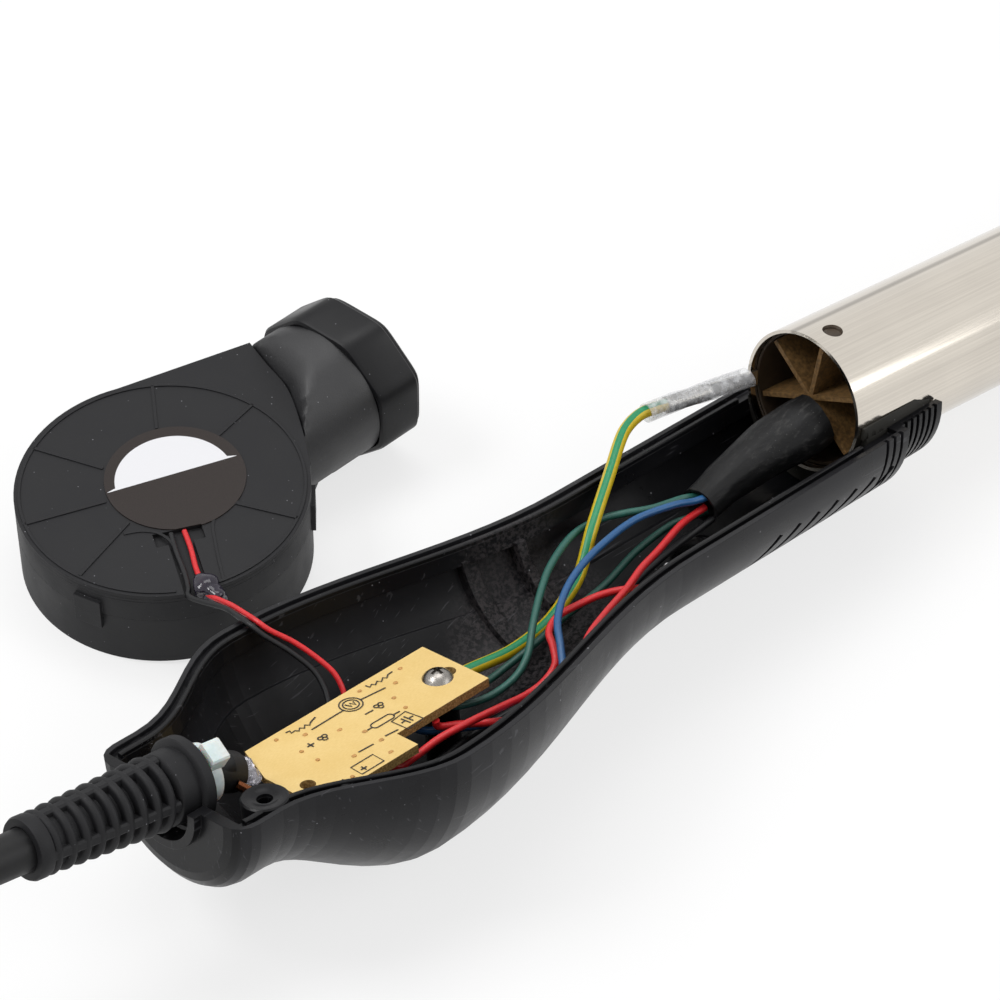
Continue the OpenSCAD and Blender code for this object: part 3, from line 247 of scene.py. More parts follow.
cord_exit = SHELL @ relief_point(BOOT)
cord_out = (SHELL @ relief_point(BOOT + CORD_D) - cord_exit).normalized()
FLOOR_Z = CORD_D / 2 + FLOOR_GAP
run = [(-18, 2, -0.07), (-28, 3, -0.03), (-38, 4, 0.08), (-48, 5, 0.25), (-58, 6, 0.46), (-68, 7, 0.67),
       (-78, 8, 0.84), (-88, 8.5, 0.95), (-98, 9, 1), (-108, 9, 1), (-116, 9, 1)]
cord_route = [cord_exit, cord_exit + CORD_D * cord_out] + [
    Vector((cord_exit.x + x, cord_exit.y + y, cord_exit.z - s * (cord_exit.z - FLOOR_Z))) for x, y, s in run]
coil_at = Vector((cord_route[-1].x - CORD_D, cord_route[-1].y + COIL_R + TURNS * PITCH / 2, FLOOR_Z))


def coil_point(s):
    climb = (1 - math.cos(math.pi * min(1, max(0, (s - TURNS + 0.25) / 0.5)))) / 2
    r = COIL_R - TURNS * PITCH / 2 + PITCH * abs(s - TURNS)
    a = math.radians(-90 - 360 * s)
    return coil_at + Vector((r * math.cos(a), r * math.sin(a), PITCH * climb))


# Shader values: a small class, so that patterns read as sums
class V:
    tree = None

    def __init__(self, socket):
        self.s = socket

    @staticmethod
    def join(slot, value):
        if isinstance(value, V):
            V.tree.links.new(value.s, slot)
        else:
            slot.default_value = value

    def math(self, op, *others):
        n = V.tree.nodes.new("ShaderNodeMath")
        n.operation = op
        for slot, value in zip(n.inputs, (self,) + others):
            V.join(slot, value)
        return V(n.outputs[0])

    def __add__(self, o): return self.math("ADD", o)
    def __sub__(self, o): return self.math("SUBTRACT", o)
    def __mul__(self, o): return self.math("MULTIPLY", o)
    def __rsub__(self, o): return (self * -1.0) + o
    __radd__, __rmul__ = __add__, __mul__
    def max(self, o): return self.math("MAXIMUM", o)
    def min(self, o): return self.math("MINIMUM", o)
    def abs(self): return self.math("ABSOLUTE")

    def step(self, low, high):
        """0 below low, 1 above high, smooth between."""
        n = V.tree.nodes.new("ShaderNodeMapRange")
        n.interpolation_type = "SMOOTHSTEP"
        for slot, value in zip(n.inputs, (self, low, high, 0.0, 1.0)):
            V.join(slot, value)
        return V(n.outputs[0])

    def mix(self, a, b):
        """Colour a where this is 0, b where it is 1."""
        n = V.tree.nodes.new("ShaderNodeMix")
        n.data_type = "RGBA"
        V.join(n.inputs[0], self)
        V.join(n.inputs[6], a)
        V.join(n.inputs[7], b)
        return V(n.outputs[2])


def rgb(code, k=1.0):
    """A colour as it is seen, to the linear values of a shader."""
    v = [int(code[i:i + 2], 16) / 255 for i in (1, 3, 5)]
    return (*[k * (c / 12.92 if c <= 0.04045 else ((c + 0.055) / 1.055) ** 2.4) for c in v], 1.0)


class Paint:
    """One material: coordinates of a frame in millimetres, patterns, and the shader's sockets."""

    def __init__(self, name, place=FLOOR, **constants):
        self.mat = bpy.data.materials.new(name)
        self.mat.use_nodes = True
        self.tree = V.tree = self.mat.node_tree
        self.bsdf = self.tree.nodes["Principled BSDF"]
        for key, value in constants.items():
            self.set(key, value)
        coord = self.tree.nodes.new("ShaderNodeTexCoord")
        mapping = self.tree.nodes.new("ShaderNodeMapping")
        mapping.vector_type = "TEXTURE"
        mapping.inputs["Location"].default_value = place.translation * MM
        mapping.inputs["Rotation"].default_value = place.to_euler("XYZ")
        mapping.inputs["Scale"].default_value = (MM, MM, MM)
        self.tree.links.new(coord.outputs["Object"], mapping.inputs["Vector"])
        self.at = V(mapping.outputs[0])
        parts = self.tree.nodes.new("ShaderNodeSeparateXYZ")
        self.tree.links.new(self.at.s, parts.inputs[0])
        self.x, self.y, self.z = (V(parts.outputs[i]) for i in range(3))

    def set(self, key, value):
        V.join(self.bsdf.inputs[key.replace("_", " ")], value)

    def stretched(self, sx=1.0, sy=1.0, sz=1.0, turn=(0, 0, 0)):
        n = self.tree.nodes.new("ShaderNodeMapping")
        n.inputs["Scale"].default_value = (sx, sy, sz)
        n.inputs["Rotation"].default_value = [math.radians(v) for v in turn]
        self.tree.links.new(self.at.s, n.inputs["Vector"])
        return V(n.outputs[0])

    def noise(self, scale, detail=3.0, rough=0.55, at=None):
        n = self.tree.nodes.new("ShaderNodeTexNoise")
        self.tree.links.new((at or self.at).s, n.inputs["Vector"])
        n.inputs["Scale"].default_value = scale
        n.inputs["Detail"].default_value = detail
        n.inputs["Roughness"].default_value = rough
        return V(n.outputs["Fac"])

    def cells(self, scale):
        """Distance from the nearest of many scattered points."""
        n = self.tree.nodes.new("ShaderNodeTexVoronoi")
        self.tree.links.new(self.at.s, n.inputs["Vector"])
        n.inputs["Scale"].default_value = scale
        return V(n.outputs["Distance"])

    def bump(self, height, strength=0.3, distance=0.1, radius=None):
        n = self.tree.nodes.new("ShaderNodeBump")
        n.inputs["Strength"].default_value = strength
        n.inputs["Distance"].default_value = distance * MM
        V.join(n.inputs["Height"], height)
        if radius:
            b = self.tree.nodes.new("ShaderNodeBevel")
            b.samples = 4
            b.inputs["Radius"].default_value = radius * MM
            self.tree.links.new(b.outputs[0], n.inputs["Normal"])
        self.tree.links.new(n.outputs[0], self.bsdf.inputs["Normal"])

    def dust(self, scale=0.9, size=0.12, share=0.5):
        """Small scattered specks."""
        n = self.tree.nodes.new("ShaderNodeTexVoronoi")
        self.tree.links.new(self.at.s, n.inputs["Vector"])
        n.inputs["Scale"].default_value = scale
        split = self.tree.nodes.new("ShaderNodeSeparateColor")
        self.tree.links.new(n.outputs["Color"], split.inputs[0])
        keep = V(split.outputs[0]).step(share, share + 0.02)
        spread = V(split.outputs[1]) * size + size * 0.2
        return keep * (1.0 - V(n.outputs["Distance"]).step(0.0, spread))


# Materials: procedural, each in the frame of the piece that wears it, with small changes of
# colour, gloss and surface.
def moulded(name, place, colour, rough=0.42, grain=9.0, depth=0.02, dust=0.55, edge=0.15, gloss=0.24):
    """Black moulded plastic: fine grain, faint clouds in the gloss, and pale specks that are partly dust and partly
    painted glints.
    """
    m = Paint(name, place, Specular_IOR_Level=gloss)
    cloud = m.noise(0.09, 4)
    fine = m.noise(grain, 2)
    base = (cloud * 0.6 + fine * 0.4).step(0.3, 0.8).mix(rgb(colour, 0.8), rgb(colour, 1.35))
    # The pale specks are partly dust and partly painted glints of the grained surface
    m.set("Base Color", m.dust(share=dust).mix(base, rgb("#9a9aa0")))
    m.set("Roughness", cloud.step(0.25, 0.75) * 0.16 + rough)
    m.bump(fine * 0.7 + m.noise(grain * 0.3, 3) * 0.5, 0.5, depth, edge)
    return m.mat


def plain(name, colour, rough=0.4, metal=0.0, place=SHELL, scale=1.2, vary=0.25, depth=0.03, **constants):
    """A finish with its own small variation in colour, gloss and surface."""
    m = Paint(name, place, Metallic=metal, **constants)
    n = m.noise(scale, 4)
    m.set("Base Color", n.step(0.25, 0.75).mix(rgb(colour, 1 - vary), rgb(colour, 1 + vary)))
    m.set("Roughness", n.step(0.2, 0.8) * 0.12 + rough)
    m.bump(m.noise(scale * 5, 3), 0.35, depth)
    return m.mat


# Outline of the shell: where the rear wall, neck, bulb and grip begin, and the radii there
REAR_X, NECK_X, BULB_X, GRIP_X = -146.5, -138, -110, -45
REAR_R, BULB_R, GRIP_R, REAR_ROUND = 17, 28.6, 16.8, 4


def shell_paint():
    """Outside satin with a light grain; the floor inside scuffed, and painted darker there as shade."""
    m = Paint("shell", SHELL, Specular_IOR_Level=0.16)
    cloud = m.noise(0.07, 5)
    grain = m.noise(11, 2)
    from_axis = (m.y * m.y + m.z * m.z).math("SQRT")
    outer = (m.x.step(NECK_X, BULB_X) * (BULB_R - REAR_R)
             - m.x.step(BULB_X, GRIP_X) * (BULB_R - GRIP_R) + REAR_R)
    inside = 1.0 - (from_axis - outer).step(-1.7, -1.1)
    scuff_at = ((m.x + 62) * (m.x + 62) * 0.0025 + (m.y - 6) * (m.y - 6) * 0.006).step(0.3, 1.0)
    scuff = (1.0 - scuff_at) * m.noise(1.4, 5, 0.7).step(0.42, 0.6) * inside
    scratch = m.noise(0.5, 2, at=m.stretched(0.15, 6, 1, (0, 0, 20))).step(0.66, 0.72)
    base = (cloud * 0.7 + grain * 0.3).step(0.3, 0.75).mix(rgb("#171719"), rgb("#242427"))
    # Painted shade: the inside of the shell is made darker because it lies in shadow
    base = (inside * 0.75).mix(base, rgb("#08080a"))
    base = (scuff * 0.28).mix(base, rgb("#625c5e"))
    base = (scratch * 0.18).mix(base, rgb("#77777c"))
    m.set("Base Color", m.dust(0.6, 0.13, 0.62).mix(base, rgb("#8e8e93")))
    m.set("Roughness", cloud.step(0.3, 0.7) * 0.14 + 0.26 + scuff * 0.18)
    m.bump(grain * 0.5 + scuff * 1.4 + m.noise(2.2, 3) * 0.35, 0.5, 0.035, 0.18)
    return m.mat


def steel_paint():
    """Bright tube: drawn along its length, warm bands, a thin seam and pinpoint marks."""
    m = Paint("tube_steel", TUBE, Metallic=1.0, Anisotropic=0.35)
    lines = m.noise(1.0, 4, at=m.stretched(0.02, 3, 3))
    cloud = m.noise(0.05, 3)
    base = (lines * 0.6 + cloud * 0.4).step(0.3, 0.7).mix(rgb("#cac3b9"), rgb("#d8d1c6"))
    round_it = m.z.math("ARCTAN2", m.y)
    seam = 1.0 - (round_it - math.radians(81.5)).abs().step(0.02, 0.09)
    base = (seam * 0.5).mix(base, rgb("#6f6962"))
    marks = m.cells(2.6).step(0.03, 0.06)
    near = ((m.x - 20.7).abs().max((m.y + 4.0).abs())).step(1.2, 1.6)
    base = (marks.max(near)).mix(rgb("#5b554e"), base)
    m.set("Base Color", base)
    m.set("Roughness", lines.step(0.3, 0.8) * 0.07 + 0.11)
    m.bump(m.noise(0.8, 3, at=m.stretched(0.1, 1, 1)) * 0.8 + lines * 0.06, 0.2, 0.03)
    return m.mat


def label_paint():
    """Dark brown disc with a white half-moon over its middle, and no lettering."""
    m = Paint("label", FAN, Specular_IOR_Level=0.3)
    away = ((m.x - 2.5) * (m.x - 2.5) + (m.y + 0.2) * (m.y + 0.2)).math("SQRT")
    over = (m.x - 2.8) * 0.36 + m.y * 0.933 - 0.85
    moon = (1.0 - away.step(10.05, 10.15)) * over.step(-0.04, 0.04)
    flare = (1.0 - away.step(11.5, 11.6)) * over.step(-0.04, 0.04) * (1.0 - (over + away * 0.3).step(3.5, 3.6))
    grain = m.noise(9, 3)
    dark = grain.step(0.35, 0.7).mix(rgb("#1c1513"), rgb("#2b221e"))
    m.set("Base Color", moon.max(flare).mix(dark, rgb("#dedee1")))
    m.set("Roughness", grain * 0.1 + 0.3)
    m.bump(m.noise(0.5, 2) + grain * 0.1, 0.2, 0.05)
    return m.mat


def sleeve_paint():
    """Matt black heat shrink, with pale dust rubbed along its folds."""
    m = Paint("shrink", SHELL, Specular_IOR_Level=0.22)
    folds = m.noise(0.8, 4, at=m.stretched(0.35, 1.3, 1.3, (0, 0, 12)))
    fine = m.noise(5, 3)
    near_mouth = (m.x + 13).step(-8, 9)
    rub = folds.step(0.5, 0.75) * (near_mouth * 0.07 + 0.03) + m.dust(2.2, 0.2, 0.35) * near_mouth * 0.5
    m.set("Base Color", rub.min(1.0).mix(rgb("#111112"), rgb("#8f8d8a")))
    m.set("Roughness", fine * 0.14 + 0.42)
    m.bump(folds + fine * 0.25, 0.6, 0.16)
    return m.mat


def glue(name, colour, rough, place, transmission):
    """Hot glue, with its own faint clouds."""
    m = Paint(name, place, Transmission_Weight=transmission, IOR=1.48)
    n = m.noise(0.6, 3)
    m.set("Base Color", n.step(0.3, 0.7).mix(rgb(colour, 0.85), rgb(colour, 1.1)))
    m.set("Roughness", n * 0.1 + rough)
    m.bump(m.noise(1.6, 2), 0.35, 0.1)
    return m.mat


def film(name, colour, place):
    """Thin clear sleeve: mostly seen through, milky in patches."""
    m = Paint(name, place, Roughness=0.12, IOR=1.4)
    n = m.noise(0.9, 3)
    m.set("Base Color", n.step(0.3, 0.7).mix(rgb(colour, 0.8), rgb(colour, 1.05)))
    m.set("Alpha", n.step(0.35, 0.75) * 0.22 + 0.2)
    m.bump(m.noise(0.8, 2), 0.2, 0.06)
    return m.mat


def board_paint():
    """Tan phenolic board with paler fibres and rough sawn edges."""
    m = Paint("board", SHELL, Specular_IOR_Level=0.3)
    fibre = m.noise(3.5, 4, at=m.stretched(0.4, 1.6, 1))
    cloud = m.noise(0.12, 3)
    face = (fibre * 0.5 + cloud * 0.5).step(0.3, 0.75).mix(rgb("#e2c077"), rgb("#efd18e"))
    edge = (m.z + 8.62).step(-0.06, 0.06)
    rough_edge = m.noise(2.5, 4).step(0.35, 0.7).mix(rgb("#8d6d40"), rgb("#c9a568"))
    m.set("Base Color", edge.mix(rough_edge, face))
    m.set("Roughness", (1.0 - edge) * 0.3 + fibre * 0.1 + 0.38)
    m.bump(fibre * 0.4 + (1.0 - edge) * m.noise(3.5, 4) * 2.0, 0.35, 0.05)
    return m.mat


FINISH = {
    "lower_shell": shell_paint(),
    "heater_tube": steel_paint(),
    "circuit_board": board_paint(),
    "strain_relief": moulded("boot", RELIEF, "#19191b", 0.5, 6, 0.03),
    "cable_jacket": plain("jacket", "#161617", 0.45, scale=2, Specular_IOR_Level=0.25),
    "blower_cover": moulded("cover", FAN, "#1b1b1d", 0.5, 7, 0.04, 0.6),
    "blower_base": moulded("base", FAN, "#19191b", 0.46, 7, 0.035, 0.6),
    "blower_collar": moulded("collar", FAN, "#111113", 0.36, 5, 0.03, 0.7),
    "blower_label": label_paint(),
    "impeller": moulded("blades", FAN, "#1c1c1e", 0.4, 6, 0.02),
    "stator": plain("winding", "#a8572e", 0.35, 0.6, FAN),
    "blower_board": plain("small_board", "#2b5a3a", 0.35, place=FAN),
    "bearing_bush": plain("bush", "#b08d57", 0.3, 1.0, FAN),
    "rotor_magnet": plain("magnet", "#4a4340", 0.55, 0.3, FAN),
    "motor_shaft": plain("shaft", "#cfd2d4", 0.2, 1.0, FAN),
    "board_screw": plain("screw", "#8d8984", 0.2, 1.0, scale=4, vary=0.12),
    "board_solder": plain("solder", "#b9bcbd", 0.25, 1.0, scale=5),
    "board_resistors": plain("resistors", "#c8a878", 0.35, scale=2),
    "board_capacitor": plain("capacitor", "#2c3550", 0.3, scale=2),
    "board_diodes": plain("diodes", "#202020", 0.35, scale=2),
    "tilt_switch": plain("switch", "#d1b25c", 0.22, 1.0, scale=4),
    "cable_tie": plain("nylon", "#e4e5df", 0.35, scale=1.5, vary=0.06, Subsurface_Weight=0.3),
    "cable_cores": plain("cores", "#6b4029", 0.3, 1.0, scale=6, vary=0.4),
    "connector_shell": plain("connector", "#c3c5c6", 0.25, 1.0, FLOOR, 0.6, 0.1),
    "connector_nut": plain("nut", "#b3b6b8", 0.28, 1.0, FLOOR, 0.6, 0.12),
    "connector_insert": plain("insert", "#2a2a2a", 0.5, place=FLOOR),
    "connector_pins": plain("pins", "#d2b45a", 0.22, 1.0, FLOOR),
    "tube_gasket": moulded("gasket", SHELL, "#2a2926", 0.6, 5, 0.04),
    "earth_tab": plain("tab", "#b5b1a8", 0.22, 1.0, scale=0.5, vary=0.12),
    "spade_terminal": plain("terminal", "#9d9a93", 0.2, 1.0, scale=0.5, vary=0.15),
    "mica_star": plain("mica", "#6e5330", 0.5, place=TUBE, scale=1.5, vary=0.5, depth=0.06),
    "mica_liner": plain("mica_roll", "#33271a", 0.5, place=TUBE, scale=0.7, vary=0.3, depth=0.06),
    "heating_coil": plain("heater_wire", "#8f8a86", 0.35, 1.0, TUBE, 3),
}
for name, mat in FINISH.items():
    mesh = nodes[name].data
    mesh.materials.clear()
    mesh.materials.append(mat)
WIRE = {
    "earth": plain("wire_yellow", "#cbb01c", 0.34, scale=1.5, vary=0.08, depth=0.02),
    "earth_green": plain("stripe_green", "#148455", 0.34, scale=1.5, vary=0.1, depth=0.02),
    "blue": plain("wire_blue", "#205688", 0.32, scale=2, vary=0.1, depth=0.02),
    "green": plain("wire_green", "#245a50", 0.34, scale=2, vary=0.15, depth=0.03),
    "dark_green": plain("wire_dark_green", "#15433a", 0.36, scale=2, vary=0.2, depth=0.03),
    "red": plain("wire_red", "#cf2429", 0.32, scale=2, vary=0.1, depth=0.02),
    "black": plain("wire_black", "#151517", 0.36, scale=2, vary=0.2, depth=0.02, Specular_IOR_Level=0.3),
}

# Cable: one round curve from the strain relief through the coil, then straight into the
# connector, which is fixed on its end
def cable():
    route = smooth(cord_route, 4)
    route += [coil_point(i / COIL_STEPS) for i in range(COIL_STEPS * 2 * TURNS + 1)]
    end = route[-1]
    route += [end + Vector((-TAIL * k / 3, 0, 0)) for k in (1, 2, 3)]
    curve = bpy.data.curves.new("cable", "CURVE")
    curve.dimensions = "3D"
    curve.bevel_depth = CORD_D / 2 * MM
    curve.bevel_resolution = 5
    curve.use_fill_caps = True
    line = curve.splines.new("POLY")
    line.points.add(len(route) - 1)
    for slot, p in zip(line.points, route):
        slot.co = (*(p * MM), 1)
    obj = bpy.data.objects.new("cable", curve)
    bpy.context.scene.collection.objects.link(obj)
    curve.materials.append(plain("cable_black", "#19191a", 0.42, place=FLOOR, scale=0.5, vary=0.15, depth=0.03,
                                 Specular_IOR_Level=0.25))
    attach(obj, BODY)
    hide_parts("cord_run", "cord_coil")
    length = sum((a - b).length for a, b in zip(route, route[1:]))
    tuple(route[0] * MM)


cable()

# Wires: stranded copper in smooth soft insulation. They lie loose along the shell, from the
# heater's sleeve and terminal to the underside of the board, where they are soldered.
WIRE_D, EARTH_D = 1.28, 2.2
BOARD_TOP, BOARD_T, JOINT = -8.5, 1.6, 0.5
BOARD_Z = BOARD_TOP - BOARD_T
ROUTES = {
    "earth_wire": (EARTH_D, [
        (-14.5, 15.5, 4.9), (-19.5, 16.7, 5.1), (-22.5, 17.2, 5.1), (-26, 16.8, 4.6), (-29.6, 15.4, 3.8),
        (-36, 12.2, 1), (-45.1, 7.9, -3.5), (-51, 5.7, -9), (-56, 4.8, -11.6), (-62, 3.8, -13.2), (-70, 3.6, -14),
        (-78, 4.6, -13.8), (-86, 5.5, -13.4), (-90, 5.6, -12.4), (-91.5, 5.6, BOARD_Z - 2 * JOINT)]),
    "blue_wire": (WIRE_D, [
        (-23.2, 1.2, -5.2), (-26.5, 1.9, -5), (-30.9, 2.6, -4), (-38.4, 4.2, -3.8), (-47, 3.2, -3.8),
        (-54.6, 1.6, -4.4), (-61.5, -1.3, -5), (-67.5, -5.3, -6), (-71, -9.2, -8), (-74, -12.2, -10.5),
        (-77.5, -12.6, -12.6), (-82.5, -11.4, -14.2), (-88, -7, -15), (-95, -3, -14), (-97.5, -2.4, -12.6),
        (-98.6, -2.4, BOARD_Z - JOINT)]),
    "green_wire": (WIRE_D, [
        (-22.9, 3.4, -6), (-26.5, 4.6, -5.4), (-32.7, 5.7, -4.8), (-37.6, 8, -4.4), (-41.9, 10, -4.5),
        (-48.4, 9.7, -4.4), (-56.7, 6.6, -5), (-62.8, 3.2, -6.2), (-68.7, -0.6, -8.2), (-73, -3.4, -10.6),
        (-77, -4.2, -12.6), (-82.6, -4, -13.4), (-88, -3.2, -12.7), (-90.5, -2.6, -11.8),
        (-91.5, -2.6, BOARD_Z - JOINT)]),
    "dark_green_wire": (WIRE_D, [
        (-23, 2.2, -8.6), (-26.5, 3.4, -8.8), (-30.5, 4.4, -9), (-39.2, 4, -9.8), (-49, 1.6, -10.4),
        (-55.7, 0.9, -10.8), (-61.9, 0.4, -11.2), (-68.3, -0.4, -11.9), (-74, 0.4, -13.6), (-79, 0.4, -14.2),
        (-83.4, -0.3, -13.2), (-85.1, -0.6, -11.8), (-85.3, -0.6, BOARD_Z - JOINT)]),
    "red_wire": (WIRE_D, [
        (-24.1, 1.6, -7.2), (-27.2, 1.5, -7.2), (-32, 0.4, -6.9), (-39.9, -2.2, -6.8), (-46.5, -4.4, -6.4),
        (-52.7, -6.6, -6.8), (-60, -8.8, -7), (-66.5, -11.2, -7.2), (-71.5, -13.8, -8.6), (-76, -15, -11),
        (-81, -14.2, -13.4), (-87, -9.5, -13.8), (-92, -6.4, -13), (-95.4, -5.4, -12), (-96, -5.4, BOARD_Z - JOINT)]),
    "sensor_wire": (WIRE_D, [
        (-47.2, -8.6, -8.5), (-49, -6.2, -8.4), (-51.5, -4, -8.4), (-54.8, -2.6, -8.3), (-59.2, -1.7, -8.4),
        (-64, -1.8, -8.2), (-67.6, -3.2, -8.8), (-69.4, -5.8, -9.9), (-71.4, -8, -11.4), (-74.8, -8.6, -12.8),
        (-79, -8.6, -13.2), (-84, -9.2, -12.2), (-89.4, -10.2, -10.8), (-94.4, -10.6, -10), (-99.4, -9.8, -10.4),
        (-103.6, -8.8, -11.8), (-107, -8, -12.6), (-110, -7.6, BOARD_Z - JOINT)]),
    "black_wire": (WIRE_D, [
        (-23.6, 0.4, -9.2), (-27.5, 0.6, -9.9), (-34, 0.8, -10.8), (-42.7, 0, -11.8), (-52.4, -2.6, -12.3),
        (-60, -5, -12.8), (-66, -6.6, -13.8), (-73, -6.6, -15.6), (-80, -6.4, -16.4), (-88, -5.4, -17.2),
        (-100, -6, -17.6), (-106, -5, -14), (-107.5, -5, BOARD_Z - JOINT)]),
}
PAINT_OF = {"earth_wire": ("earth", "earth_green"), "blue_wire": ("blue",), "green_wire": ("green",),
            "dark_green_wire": ("dark_green",), "red_wire": ("red",), "sensor_wire": ("red",),
            "black_wire": ("black",)}
for name, (d, route) in ROUTES.items():
    # The green stripes cover two opposite quarters of the earth wire
    pick = (lambda k: int(k % 12 in (3, 4, 5, 6))) if name == "earth_wire" else None
    verts, faces, marks = tube_mesh(smooth(route, 8), d / 2, 24, pick)
    wire = mesh_object(name + "_round", verts, faces, [WIRE[p] for p in PAINT_OF[name]], place=SHELL, face_mats=marks)
    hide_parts(name)


# Blower leads: two thin stranded wires, soldered inside the blower. They lie side by side in the
# slot of the cover, go over its rim and down into the shell, and end under the board.
SLOT_TURN, LEAD_R = 243, 0.46
SLOT_FLOOR, LEAD_GAP, SOLID_LEAD_R = -0.8, 0.1, 0.55


def fan_point(r, turn, z):
    a = math.radians(SLOT_TURN + turn)
    return FAN @ Vector((r * math.cos(a), r * math.sin(a), z))


LEADS = {
    "lead_red": (3, "red", [(-103.9, 33, 0.3), (-104.7, 28.5, 0.75), (-105, 25.4, 0.65), (-104.3, 23.1, -0.6),
                            (-101.9, 20, -3), (-100.3, 16.3, -5.6), (-99.6, 13.6, -7.8), (-99.9, 11.5, -10.6),
                            (-101.3, 9, -12.4), (-101.5, 8.6, -10.7)]),
    "lead_black": (-3, "black", [(-105, 33.4, 0.1), (-106, 28.8, 0.7), (-106.4, 25.4, 0.6), (-105.7, 23, -0.9),
                                 (-103.6, 19.6, -3.6), (-102.2, 16, -6.4), (-102.4, 13.4, -8.9),
                                 (-103.6, 11.2, -11.2), (-105.2, 9, -12.4), (-105.5, 8.6, -10.7)]),
}
SEAT = LEAD_GAP + SLOT_FLOOR + SOLID_LEAD_R
for name, (turn, paint, route) in LEADS.items():
    out = [fan_point(11, turn * 2, SEAT), fan_point(15, turn * 1.6, SEAT), fan_point(20, turn, SEAT),
           fan_point(24, turn, SEAT + 0.5), fan_point(26.5, turn, SEAT + 0.8)]
    verts, faces, _ = tube_mesh(smooth(out + [SHELL @ Vector(p) for p in route], 8), LEAD_R, 16)
    lead = mesh_object(name + "_round", verts, faces, [WIRE[paint]])
    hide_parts(name)

# Rim of the shell, moulded with it: a raised inner lip that locates the other half, so that a
# dark groove runs between it and the outer edge
LIP_X, LIP_LEN, LIP_STEPS = -143.5, 142.3, 110


def blend(t):
    return (1 - math.cos(math.pi * t)) / 2


def shell_r(x):
    """Radius of the shell's outside at x."""
    if x < REAR_X + REAR_ROUND:
        return REAR_R - REAR_ROUND + math.sqrt(max(0, REAR_ROUND ** 2 - (REAR_ROUND - (x - REAR_X)) ** 2))
    if x < NECK_X:
        return REAR_R
    if x < BULB_X:
        return REAR_R + (BULB_R - REAR_R) * blend((x - NECK_X) / (BULB_X - NECK_X))
    if x < GRIP_X:
        return BULB_R - (BULB_R - GRIP_R) * blend((x - BULB_X) / (GRIP_X - BULB_X))
    return GRIP_R


def loft(rows):
    """Rows of as many points each, joined into a closed bar with flat ends."""
    n, last = len(rows[0]), len(rows) - 1
    faces = [(n * i + k, n * i + (k + 1) % n, n * i + n + (k + 1) % n, n * i + n + k)
             for i in range(last) for k in range(n)]
    return [v for row in rows for v in row], faces + [tuple(range(n)), tuple(n * last + k for k in range(n))]


lip_parts = []
for side in (-1, 1):
    xs = [LIP_X + LIP_LEN * i / LIP_STEPS for i in range(LIP_STEPS + 1)]
    lip_parts.append(loft([[(x, side * (shell_r(x) - inset), z) for inset, z in
                            ((2.15, -1.6), (2.15, -0.25), (2.3, -0.06), (2.9, -0.06), (3.05, -0.25), (3.05, -1.6))]
                           for x in xs]))
lip = mesh_object("rim_lip", *merged(lip_parts), [FINISH["lower_shell"]], 30, SHELL)

# Round boss on the floor of the grip, moulded with the shell, under the wires: dished and glossy
boss = mesh_object("floor_boss", *lathe([(4.9, -3), (4.9, -0.2), (4.7, 0), (4.2, 0), (3.9, -0.25), (2.4, -0.75),
                                         (0.2, -0.9)], (-29.4, -1.3, -11.9)),
                   [plain("boss_gloss", "#0d0d0e", 0.14, scale=0.7, vary=0.2)], 30, SHELL)


# Heat shrink over the heater's leads: a matt black sleeve, shrunk on. It is full where it enters
# the tube, and folded and narrow at its open end, where the wires come out.
def shrink_r(s, w):
    r = 5.3 + 0.4 * blend(min(1, s / 0.15)) - 2.05 * blend(min(1, max(0, (s - 0.1) / 0.8)))
    fold = 1 + 0.03 * math.sin(2 * w + 5 * s) + 0.022 * math.sin(5 * w - 7 * s) * s + 0.012 * math.sin(11 * w + 9 * s)
    return r * fold, r * fold * 0.92


shrink_route = smooth([(1.7, -1.6, -0.2), (-1, -0.8, -0.9), (-3.4, 0, -1.7), (-7, 1.1, -2.6), (-10.6, 1.8, -3.6),
                       (-14.5, 2.4, -4.7), (-18, 2.8, -5.6), (-21, 2.8, -6.5), (-24.1, 2.7, -7.2)], 6)
shrink = mesh_object("shrink_sleeve", *sleeve_mesh(shrink_route, shrink_r, 0.5, 8, 48), [sleeve_paint()], 60, SHELL)
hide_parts("heat_shrink")


# Clear sleeve over the earth terminal: thin soft plastic, pushed over the crimp. It is round
# over the wire and pressed flat over the tab of the tube.
def clear_r(s, w):
    flat = blend(min(1, max(0, (s - 0.42) / 0.2)))
    neck = 0.22 * math.exp(-((s - 0.4) / 0.06) ** 2)
    return 1.8 + 0.65 * flat - neck, 1.75 - 0.2 * flat - neck


clear_route = smooth([(-21.6, 16.7, 5.1), (-18, 16.2, 5), (-14.4, 15.4, 5), (-10.5, 14.3, 4.9), (-7, 13.5, 4.8),
                      (-3, 12.7, 4.6), (-0.4, 12.1, 4.5)], 6)
clear_sleeve = mesh_object("clear_sleeve", *sleeve_mesh(clear_route, clear_r, 0.2, len(clear_route), 32),
                           [film("clear_sleeve", "#e6e7ea", SHELL)], 60, SHELL)
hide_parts("terminal_sleeve")

# Hot glue, set in soft drops: it holds the leads at the edge of the blower, and the cable where
# it meets the board
blob = mesh_object("lead_blob", *merged([lump((-9.9, -22.6, 0.7), (2.3, 2.4, 1.6), 1.0, 0.16),
                                         lump((-9.6, -24.9, 0.2), (2, 1.8, 1.7), 2.6, 0.2)]),
                   [glue("glue_violet", "#2c2438", 0.08, FAN, 0.45)], 60, FAN)
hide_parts("lead_glue")
fillet = mesh_object("board_blob", *merged([lump((-126.8, 6.2, -8.1), (2, 2.2, 1.1), 0.4, 0.2),
                                            lump((-127.4, 3.4, -8.1), (1.9, 2, 1), 3.1, 0.2)]),
                     [glue("glue_clear", "#e9e7ee", 0.05, SHELL, 0.85)], 60, SHELL)
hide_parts("jacket_glue")

